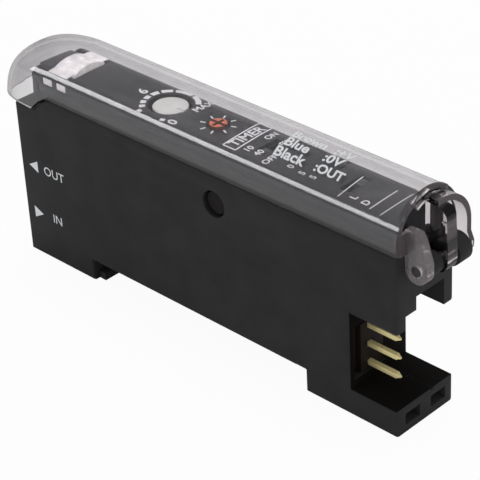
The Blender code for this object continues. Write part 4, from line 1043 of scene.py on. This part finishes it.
@dataclass
class Housing:
    """The black moulded body, its far side plate, the rail latch and the print."""

    edge: float = 0.10
    recess_x: Point2 = (53.9, 60.48)
    recess_z: Point2 = (0.5, 10.7)
    arrow_out: tuple[Point2, ...] = ((1.53, 9.97), (3.11, 9.24), (3.09, 10.85))
    arrow_in: tuple[Point2, ...] = ((1.59, 2.39), (3.20, 3.31), (1.56, 4.02))

    def shells(self) -> None:
        """Softens the moulded shells and paints shade on the case faces inside the connector
        recess.
        """
        body = refined("case_body", "housing_shell", self.edge)
        dress(body, Paint.case_abs, Body.HOUSING)
        # Painted shade on the faces inside the connector recess, where the overhang shades them.
        body.data.materials.append(extra_material(RECESS_SHADE))
        for face in body.data.polygons:
            x, z = face.center.x / MM + MOULD.shift_x, face.center.z / MM
            inside = self.recess_x[0] < x < self.recess_x[1]
            if inside and self.recess_z[0] < z < self.recess_z[1]:
                face.material_index = Zone.SHADED
        side = refined("case_side", "housing_side_plate", self.edge)
        dress(side, Paint.case_abs, Body.HOUSING)
        latch = refined("rail_latch", "rail_latch_slider", 0.08)
        dress(latch, Paint.case_abs, Body.LATCH)

    def side_print(self) -> None:
        """The fibre port words and arrows on the near side."""
        marks = [plate("arrow", self.arrow_out, Plane.XZ, -PRINT_LIFT, 0.0),
                 plate("arrow", self.arrow_in, Plane.XZ, -PRINT_LIFT, 0.0)]
        right, up = Vector((1, 0, 0)), Vector((0, 0, 1))
        for text, x, z in (("OUT", 6.05, 10.0), ("IN", 5.85, 3.4)):
            label = words("label", text, 1.75)
            marks.append(lay(label, MOULD.place(x, -PRINT_LIFT, z), right, up))
        dress_print(join_all("fibre_port_print", marks), WHITE_INK, Body.HOUSING)

    def build(self) -> None:
        """Builds the housing's pieces."""
        self.shells()
        self.side_print()


@dataclass
class ClearCover:
    """The clear arched cover with its nose, tab, hinge arms, far ear and thumb ridge."""

    half: float = 5.1
    middle: float = 4.8
    arch_z: float = 21.8
    edge_z: float = 20.75
    tab_z: float = 18.48
    tab_length: float = 3.36
    tab_curve: float = 3.5
    nose_x: float = 8.8
    nose_length: float = 12.1
    low_square: float = 4.4
    top_square: float = 1.9
    lean: float = 2.48
    fall: float = 1.85
    end_x: float = 60.95
    wall: float = 0.7
    side_columns: int = 66
    nose_columns: int = 120
    low_rows: int = 10
    arch_rows: int = 26
    hinge: Point2 = (62.4, 18.9)
    lobe: float = 1.5
    pin_hole: float = 0.65
    near_arm: Point2 = (1.2, 2.3)
    centre_arm: Point2 = (4.5, 6.1)
    arm_start: float = 60.9
    arm_top: float = 23.5
    root_end: float = 61.3
    ear_lobe: float = 1.05
    neck: float = 63.7
    rim_radius: float = 4.68
    rim_start: float = 60.45
    rim_end: float = 63.0
    rim_top: float = 100.0
    ridge_span: Point2 = (60.7, 61.55)
    ridge_height: float = 0.12
    ridge_depth: float = 0.95
    ridge_arc: float = 64.0
    squash: float = 0.86
    rim_low: float = 19.5
    rim_near: float = 7.0
    ridge_inner: float = 4.72
    ridge_low: float = 25.6
    ridge_near: float = 4.6
    tie_far: float = 0.6
    root_inset: float = 0.05
    root_lap: float = 0.275
    tie_length: float = 0.5
    tie_depth: float = 0.4
    tie_rise: float = 0.8
    ridge_edge: float = 0.12
    ear_rise: float = 1.8
    ear_inset: float = 0.02
    bore_start: float = -0.5
    bore_length: float = 10.8
    zone_margin: float = 0.1
    seat_depth: float = 0.08

    @property
    def crown(self) -> float:
        """The highest line of the arch."""
        return self.arch_z + self.half

    def edge_height(self, x: float) -> float:
        """The lower edge's height at x, in millimetres."""
        part = min(1.0, max(0.0, x - self.tab_length) / self.tab_curve)
        return self.tab_z + (self.edge_z - self.tab_z) * math.sin(part * math.pi / 2)

    def reach(self, z: float) -> float:
        """How far the nose reaches at one height."""
        rise = (z - self.tab_z) / (self.crown - self.tab_z)
        return self.nose_length * max(0.0, 1 - rise ** self.lean) ** (1 / self.fall)

    def square(self, z: float) -> float:
        """The exponent of the nose outline at one height."""
        rise = (z - self.tab_z) / (self.crown - self.tab_z)
        return self.low_square + (self.top_square - self.low_square) * rise

    def ring_point(self, turn: float, half: float, z: float) -> Point2:
        """A point of the nose outline at one height.

        Args:
            turn: Radians from the near end.
            half: Half the width there.
            z: The height.

        Returns:
            The point's X and Y.
        """
        sine, cosine = max(0.0, math.sin(turn)), math.cos(turn)
        power = 2 / self.square(z)
        across = math.copysign(abs(cosine) ** power, cosine)
        return self.nose_x - self.reach(z) * sine ** power, self.middle - half * across

    def nose_turns(self, half: float, z: float, fine: int = 600) -> list[float]:
        """Turns round the nose, evenly spaced along its outline at one height.

        Args:
            half: Half the width there.
            z: The height.
            fine: Samples in a quarter turn.

        Returns:
            The turns in radians.
        """
        quarter = [math.pi / 2 * (k / fine) ** (self.square(z) / 2) for k in range(fine + 1)]
        samples = quarter + [math.pi - turn for turn in reversed(quarter[:-1])]
        run = [0.0]
        last = self.ring_point(samples[0], half, z)
        for turn in samples[1:]:
            here = self.ring_point(turn, half, z)
            run.append(run[-1] + math.dist(last, here))
            last = here
        turns, index = [], 0
        for k in range(self.nose_columns + 1):
            target = run[-1] * k / self.nose_columns
            while index < len(run) - 1 and run[index] < target:
                index += 1
            turns.append(samples[index])
        return turns

    def ring(self, half: float, z: float) -> list[tuple[float, float, float]]:
        """One level of the shell, from the near end round the nose to the far end.

        Args:
            half: Half the width there.
            z: The height.

        Returns:
            The level's points.
        """
        straight = [self.end_x + (self.nose_x - self.end_x) * k / self.side_columns
                    for k in range(self.side_columns)]
        nose = [self.ring_point(turn, half, z) for turn in self.nose_turns(half, z)]
        near = [(x, self.middle - half, z) for x in straight]
        far = [(x, self.middle + half, z) for x in reversed(straight)]
        return near + [(x, y, z) for x, y in nose] + far

    def low_level(self, part: float) -> list[tuple[float, float, float]]:
        """One level of the upright wall, part of the way from its lower edge up.

        Args:
            part: 0 at the lower edge, 1 where the arch starts.

        Returns:
            The level's points.
        """
        typical = self.tab_z + (self.arch_z - self.tab_z) * part
        turns = self.nose_turns(self.half, typical)
        points = []
        for column, (x, y, z) in enumerate(self.ring(self.half, typical)):
            index = column - self.side_columns
            for _ in range(3):
                low = self.edge_height(x)
                z = low + (self.arch_z - low) * part
                if 0 <= index < len(turns):
                    x, y = self.ring_point(turns[index], self.half, z)
            points.append((x, y, z))
        return points

    def shell(self) -> bpy.types.Object:
        """The arched shell, mapped from a grid and given its wall.

        Returns:
            The shell, without its wall.
        """
        levels = [self.low_level(row / self.low_rows) for row in range(self.low_rows + 1)]
        for row in range(1, self.arch_rows + 1):
            angle = math.pi / 2 * row / self.arch_rows
            height = self.arch_z + self.half * math.sin(angle)
            levels.append(self.ring(self.half * math.cos(angle), height))
        columns = len(levels[0])
        deselect()
        bpy.ops.mesh.primitive_grid_add(x_subdivisions=columns - 1,
                                        y_subdivisions=len(levels) - 1, size=MM)
        item = bpy.context.object
        item.name = "clear_cover"
        for index, vertex in enumerate(item.data.vertices):
            row, column = divmod(index, columns)
            vertex.co = MOULD.place(*levels[row][column])
        tidy_mesh(item, 0.001 * MM)
        return item

    def thicken(self, item: bpy.types.Object) -> bpy.types.Object:
        """Gives the shell its wall, inwards.

        Args:
            item: The object to change.

        Returns:
            The same object.
        """
        crown = max(item.data.polygons, key=lambda p: p.center.z)
        inward = 1.0 if crown.normal.z < 0 else -1.0
        return apply_modifier(item, "SOLIDIFY", thickness=self.wall * MM, offset=inward,
                              use_even_offset=True, use_quality_normals=True)

    def arms(self) -> list[bpy.types.Object]:
        """The near arm with its root, and the centre arm that hangs from the crown.

        Returns:
            The pieces to join to the shell.
        """
        lobe = arc(self.hinge, self.lobe, 180, 360, 28)
        hx, hz = self.hinge
        near = lobe + [(hx + 1.5, hz + 1.2), (hx + 0.6, self.arm_top - 0.6),
                       (hx + 0.15, self.arm_top), (self.arm_start, self.arm_top)]
        y0, y1 = self.near_arm
        pieces = [plate("near_arm", near, Plane.XZ, y0, y1 - y0)]
        pieces.append(block("near_tie",
                            (self.end_x - self.tie_length, self.root_inset, self.edge_z + 0.1),
                            (self.root_end, self.tie_depth, self.arch_z + self.tie_rise)))
        pieces.append(block("near_root", (self.arm_start, self.root_inset, self.edge_z),
                            (self.root_end, y0 + self.root_lap, self.arm_top - 0.1)))
        y0, y1 = self.centre_arm
        high = self.crown - self.wall / 2
        centre = lobe + [(hx + 1.5, hz + 1.5), (self.neck, self.arm_top + 1.0),
                         (self.neck - 0.5, self.arm_top + 1.6),
                         (self.root_end, self.arm_top + 2.0),
                         (self.root_end, high), (self.arm_start, high)]
        pieces.append(plate("centre_arm", centre, Plane.XZ, y0, y1 - y0))
        return pieces

    def rims(self) -> list[bpy.types.Object]:
        """The thumb ridge, and the far rim that runs down to the far ear.

        Returns:
            The pieces to join to the shell.
        """
        half = self.ridge_arc / 2
        axis = (self.middle, self.arch_z)
        ridge = arc(axis, self.half + self.ridge_height, 90 - half, 90 + half, 20)
        ridge += arc(axis, self.half - self.ridge_depth, 90 + half, 90 - half, 20)
        first, last = self.ridge_span
        pieces = [soften(plate("thumb_ridge", ridge, Plane.YZ, first, last - first),
                         self.ridge_edge)]
        hx, hz = self.hinge
        outer, inner = self.rim_radius, self.rim_radius - self.wall
        rim = [(self.middle + outer, hz)] + arc(axis, outer, 0, self.rim_top, 28)
        rim += arc(axis, inner, self.rim_top, 0, 28) + [(self.middle + inner, hz)]
        pieces.append(plate("far_rim", rim, Plane.YZ, self.rim_start,
                            self.rim_end - self.rim_start))
        ear = arc(self.hinge, self.ear_lobe, 200, 360, 28)
        ear += [(hx + self.ear_lobe, hz + 0.5), (self.rim_end - 0.1, hz + self.ear_rise),
                (self.arm_start + 0.1, hz + self.ear_rise)]
        pieces.append(plate("far_ear", ear, Plane.XZ, self.middle + inner + self.ear_inset,
                            self.wall - 2 * self.ear_inset))
        return pieces

    def build(self) -> None:
        """Builds the cover and its legend."""
        item = self.thicken(self.shell())
        combine(item, *self.arms(), *self.rims())
        bore = cross_bar("pin_bore", (self.hinge[0], self.bore_start, self.hinge[1]),
                         self.bore_length, self.pin_hole)
        combine(item, bore, operation="DIFFERENCE")
        tidy_mesh(item)
        shade(item, 40)
        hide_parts("cover")
        dress(item, Paint.clear_cover, Body.COVER)
        self.finish_zones(item)
        pin = refined("hinge_pin", "hinge_pin_steel", 0.05)
        dress(pin, Paint.steel, Body.HOUSING)
        pin.data.materials[Zone.MAIN] = extra_material(PIN_FINISH)
        self.legend()

    def finish_zones(self, item: bpy.types.Object) -> None:
        """Paints shadow on the seated lower edge, paints shade on the hinge end and on the rim,
        ridge and tie ends, and gives the near arm its hazy finish.

        Args:
            item: The cover.
        """
        for finish in (SEAT_SHADOW, HINGE_END_SHADE, ARM_FINISH, RIM_SHADE):
            item.data.materials.append(extra_material(finish))
        for face in item.data.polygons:
            x = face.center.x / MM + MOULD.shift_x
            y = face.center.y / MM + MOULD.shift_y
            height = face.center.z / MM
            sits = self.tab_length + self.zone_margin < x < self.end_x - self.zone_margin
            # Painted shadow on the downward faces of the seated lower edge.
            if sits and face.normal.z < -0.5 and height < self.edge_height(x) + self.seat_depth:
                face.material_index = Zone.SHADED
            # Painted shade on the rim end, the ridge's far half and the near tie.
            elif x > self.end_x + 0.02 and self.is_rim(face.normal, x, y, height):
                face.material_index = Zone.RIM
            # Painted shade: the hinge end's clear faces take the darker tint.
            elif x > self.end_x - 0.02:
                near = y < self.near_arm[1] + self.zone_margin
                face.material_index = Zone.NEAR_ARM if near else Zone.HINGE_END

    def is_rim(self, normal: Vector, x: float, y: float, height: float) -> bool:
        """Whether a face is on the far rim's end, the ridge's far half or the near tie.

        Args:
            normal: The face's normal.
            x: Its middle's X.
            y: Its middle's Y.
            height: Its middle's Z.

        Returns:
            Whether it is.
        """
        rim = (x > self.rim_end - 0.06 and normal.x > 0.9
               and height > self.rim_low and y > self.rim_near)
        away = math.hypot(y - self.middle, height - self.arch_z)
        ridge = (x < self.ridge_span[1] + 0.02 and away > self.ridge_inner
                 and height > self.ridge_low and y > self.ridge_near)
        return rim or ridge or (y < self.tie_far and x < self.root_end + 0.02)

    def legend(self) -> None:
        """The wire colours, printed on the crown."""
        rows = (("Blue", 44.3, 71.0, 1.95), (":0V", 49.45, 71.0, 1.9),
                ("Black", 44.3, 54.0, 2.0), (":OUT", 50.0, 54.5, 1.7),
                ("Brown", 45.0, 86.5, 1.8), (":+V", 49.9, 86.5, 1.8))
        radius = self.half + PRINT_LIFT
        pieces = []
        for text, x, angle, size in rows:
            item = words("legend", text, size, bold=0.06)
            with editing(item):
                bpy.ops.mesh.subdivide(number_cuts=1)
            for vertex in item.data.vertices:
                turn = math.radians(angle) + self.squash * vertex.co.y / (radius * MM)
                vertex.co = MOULD.place(x + vertex.co.x / MM,
                                        self.middle - radius * math.cos(turn),
                                        self.arch_z + radius * math.sin(turn))
            pieces.append(item)
        dress_print(join_all("wire_legend", pieces), WHITE_INK, Body.COVER)


@dataclass
class OperationPanel:
    """The dark panel under the cover, its print, dial, adjuster and switches."""

    top: float = 23.6
    near: float = 1.2
    far: float = 8.4
    dial: Point2 = (23.1, 4.8)
    dial_hole: float = 2.65
    adjuster: Point2 = (30.8, 4.8)
    adjuster_hole: float = 1.4
    scale_radius: float = 3.25
    windows: tuple[Point2, ...] = ((4.85, 6.45), (7.25, 8.85))
    shoulder: tuple[Point2, ...] = ((1.32, 23.615), (2.27, 23.615), (2.27, 23.3), (2.75, 23.3),
                                    (2.75, 23.70), (2.1, 23.75), (1.32, 23.69))
    shoulder_x: Point2 = (5.95, 9.15)
    slot_shade: float = 0.16
    pad_low: float = 21.74
    pad_high: float = 22.59
    pad_gap: float = 0.05
    pad_depth: float = 1.3
    pad_edge: float = 0.08
    scale_half: float = 0.34
    line: float = 0.2
    rays: int = 8
    ray_start: float = 0.15
    ray_end: float = 0.8
    ink: list[bpy.types.Object] = field(default_factory=list)

    def mark(self, points: Sequence[Point2]) -> None:
        """A flat printed shape on the deck."""
        self.ink.append(plate("mark", points, Plane.XY, self.top + PRINT_LIFT, 0.0))

    def stroke(self, start: Point2, end: Point2, width: float) -> None:
        """A printed line on the deck.

        Args:
            start: The line's start.
            end: Its end.
            width: Its width.
        """
        run = Vector(end) - Vector(start)
        side = Vector((-run.y, run.x)).normalized() * width / 2
        corners = (Vector(start) + side, Vector(start) - side,
                   Vector(end) - side, Vector(end) + side)
        self.mark([(p.x, p.y) for p in corners])

    def text(self, body: str, x: float, y: float, size: float, turned: bool = True,
             bold: float = 0.03) -> None:
        """Printed letters on the deck; turned ones read across the width.

        Args:
            body: The letters.
            x: Their middle's X.
            y: Their middle's Y.
            size: The font's size.
            turned: Whether they read across the width.
            bold: How far their outline grows.
        """
        label = words("deck_text", body, size, bold=bold)
        right = Vector((0, 1, 0)) if turned else Vector((1, 0, 0))
        up = Vector((-1, 0, 0)) if turned else Vector((0, 1, 0))
        self.ink.append(lay(label, MOULD.place(x, y, self.top + PRINT_LIFT), right, up))

    def sector(self, start: float, end: float, inner: float, outer: float) -> None:
        """A printed piece of a ring round the dial."""
        points = arc(self.dial, outer, start, end, 8) + arc(self.dial, inner, end, start, 8)
        self.mark(points)

    def dial_scale(self) -> None:
        """Blocks of the scale, its numbers and the word at its end."""
        for first, last in ((232, 222), (216, 204), (198, 184), (178, 160), (154, 130),
                            (124, 84), (78, 38)):
            self.sector(first, last, self.scale_radius - self.scale_half,
                        self.scale_radius + self.scale_half)
        self.stroke((21.1, 1.55), (21.75, 1.45), 0.5)
        self.stroke((24.75, 1.55), (25.35, 1.75), 0.5)
        self.text("6", 18.45, 4.9, 1.9, bold=0.05)
        self.text("MAX", 26.5, 6.8, 1.4)
        self.text("0", 26.4, 1.98, 1.7, bold=0.05)

    def adjuster_rays(self) -> None:
        """Short rays round the adjuster."""
        cx, cy = self.adjuster
        inner, outer = self.adjuster_hole + self.ray_start, self.adjuster_hole + self.ray_end
        for k in range(self.rays):
            turn = math.radians(360 / self.rays * (k + 0.5))
            start = (cx + inner * math.cos(turn), cy + inner * math.sin(turn))
            end = (cx + outer * math.cos(turn), cy + outer * math.sin(turn))
            self.stroke(start, end, self.line)

    def switch_print(self) -> None:
        """The timer box, the switch words and the mode lines."""
        corners = ((34.39, 1.9), (36.29, 1.9), (35.95, 8.2), (34.05, 8.2), (34.39, 1.9))
        for start, end in zip(corners, corners[1:]):
            self.stroke(start, end, self.line)
        self.text("TIMER", 35.2, 4.95, 1.85, bold=0.04)
        for x, y, body in ((37.3, 3.0, "10"), (38.75, 3.1, "40"), (40.7, 2.75, "OFF"),
                           (37.2, 6.75, "ON"), (39.2, 6.55, "ms"), (43.5, 3.1, "0"),
                           (45.4, 2.85, "5"), (46.9, 2.95, "5")):
            self.text(body, x, y, 1.2)
        for x, body in ((53.0, "L"), (54.7, "D")):
            self.text(body, x, 2.6, 1.25)
        self.stroke((51.5, 1.7), (50.9, 6.5), 0.14)
        self.stroke((55.75, 1.9), (55.6, 6.6), 0.14)
        self.stroke((57.4, 1.7), (57.3, 7.2), 0.12)

    def lens(self) -> None:
        """The milky indicator lens, with the pads that fill its side windows."""
        lens = refined("indicator_lens", "indicator_dome", 0.06)
        pads = []
        for x0, x1 in self.windows:
            for y0, y1 in ((self.near + self.pad_gap, self.near + self.pad_depth),
                           (self.far - self.pad_depth, self.far - self.pad_gap)):
                pads.append(soften(block("pad", (x0, y0, self.pad_low), (x1, y1, self.pad_high)),
                                   self.pad_edge))
        for y, side in ((0.0, 1), (self.near + self.far, -1)):
            shape = [(y + side * across, up) for across, up in self.shoulder]
            pads.append(plate("shoulder", shape, Plane.YZ, self.shoulder_x[0],
                              self.shoulder_x[1] - self.shoulder_x[0]))
        combine(lens, *pads)
        shade(lens)
        dress(lens, Paint.clear_lens, Body.HOUSING)

    def moving_pieces(self) -> None:
        """The dial, the adjuster, the knobs and the lever."""
        for node, name, paint, body, edge in (
                ("indicator_dial", "dial_disc", Paint.dial_white, Body.DIAL, 0.06),
                ("adjuster", "adjuster_screw", Paint.adjuster_orange, Body.ADJUSTER, 0.06),
                ("timer_switch_knob", "timer_knob", Paint.knob_white, Body.TIMER, 0.08),
                ("mode_switch_knob", "mode_knob", Paint.knob_white, Body.MODE, 0.08),
                ("lock_lever", "lock_lever_bar", Paint.lever_abs, Body.LEVER, 0.08),
                ("fibre_clamp", "fibre_clamp_plate", Paint.lever_abs, Body.CLAMP, 0.08)):
            dress(refined(node, name, edge), paint, body)
        screw = bpy.data.objects["adjuster_screw"]
        screw.data.materials.append(extra_material(SLOT_FINISH))
        top = max(vertex.co.z for vertex in screw.data.vertices)
        for face in screw.data.polygons:
            if face.center.z < top - self.slot_shade * MM:
                face.material_index = Zone.SHADED

    def build(self) -> None:
        """Builds the panel's pieces."""
        panel = refined("operation_panel", "operation_panel_shell", 0.08)
        dress(panel, Paint.panel_abs, Body.HOUSING)
        self.lens()
        self.moving_pieces()
        self.dial_scale()
        self.adjuster_rays()
        self.switch_print()
        dress_print(join_all("deck_print", self.ink), WHITE_INK, Body.HOUSING)


@dataclass
class Connector:
    """The header block and its three square pins."""

    pins: int = 3

    def build(self) -> None:
        """Builds the connector's pieces."""
        for k in range(1, self.pins + 1):
            pin = refined(f"contact_pin_{k}", f"gold_pin_{k}", 0.04)
            dress(pin, Paint.gold_plate, Body.HOUSING)
        header = refined("connector_header", "header_block", 0.06)
        dress(header, Paint.header_nylon, Body.HOUSING)


@dataclass
class InnerParts:
    """Pieces inside the housing, which keep their CAD meshes."""

    finishes: tuple[tuple[str, Paint], ...] = (
        ("shield_can", Paint.steel), ("stability_led", Paint.led_green),
        ("operation_led", Paint.led_orange), ("fibre_holder", Paint.holder_black),
        ("seal_ring_out", Paint.ring_rubber), ("seal_ring_in", Paint.ring_rubber),
        ("emitter_led", Paint.emitter_red), ("receiver_diode", Paint.diode_dark),
        ("link_emitter", Paint.diode_dark), ("link_receiver", Paint.diode_dark),
        ("circuit_board", Paint.board_green), ("panel_board", Paint.board_green),
        ("controller_chip", Paint.chip_black), ("output_transistor", Paint.chip_black),
        ("timer_switch_body", Paint.chip_black), ("mode_switch_body", Paint.chip_black),
        ("smoothing_capacitor", Paint.sleeve_grey),
        ("sensitivity_trimmer", Paint.trimmer_white), ("idler_gear", Paint.gear_acetal),
        ("idler_post", Paint.post_brass), ("dial_post", Paint.post_brass),
        ("link_window_near", Paint.window_dark), ("link_window_far", Paint.window_dark))

    def build(self, nodes: dict[str, bpy.types.Object]) -> None:
        """Gives each carried-over node its finish.

        Args:
            nodes: The frame's nodes by name.
        """
        for node, paint in self.finishes:
            item = nodes[node]
            item.data.materials.clear()
            item.data.materials.append(paint.material)
            LOG.info("node %s finished as %s", node, paint.name)


def main() -> None:
    """Builds the studio and every sub-assembly around the frame."""
    logging.basicConfig(level=logging.INFO, format="%(name)s: %(message)s")
    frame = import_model()
    deselect()
    Studio().build()
    Housing().build()
    OperationPanel().build()
    ClearCover().build()
    Connector().build()
    InnerParts().build(frame["nodes"])
    deselect()


if __name__ == "__main__":
    main()
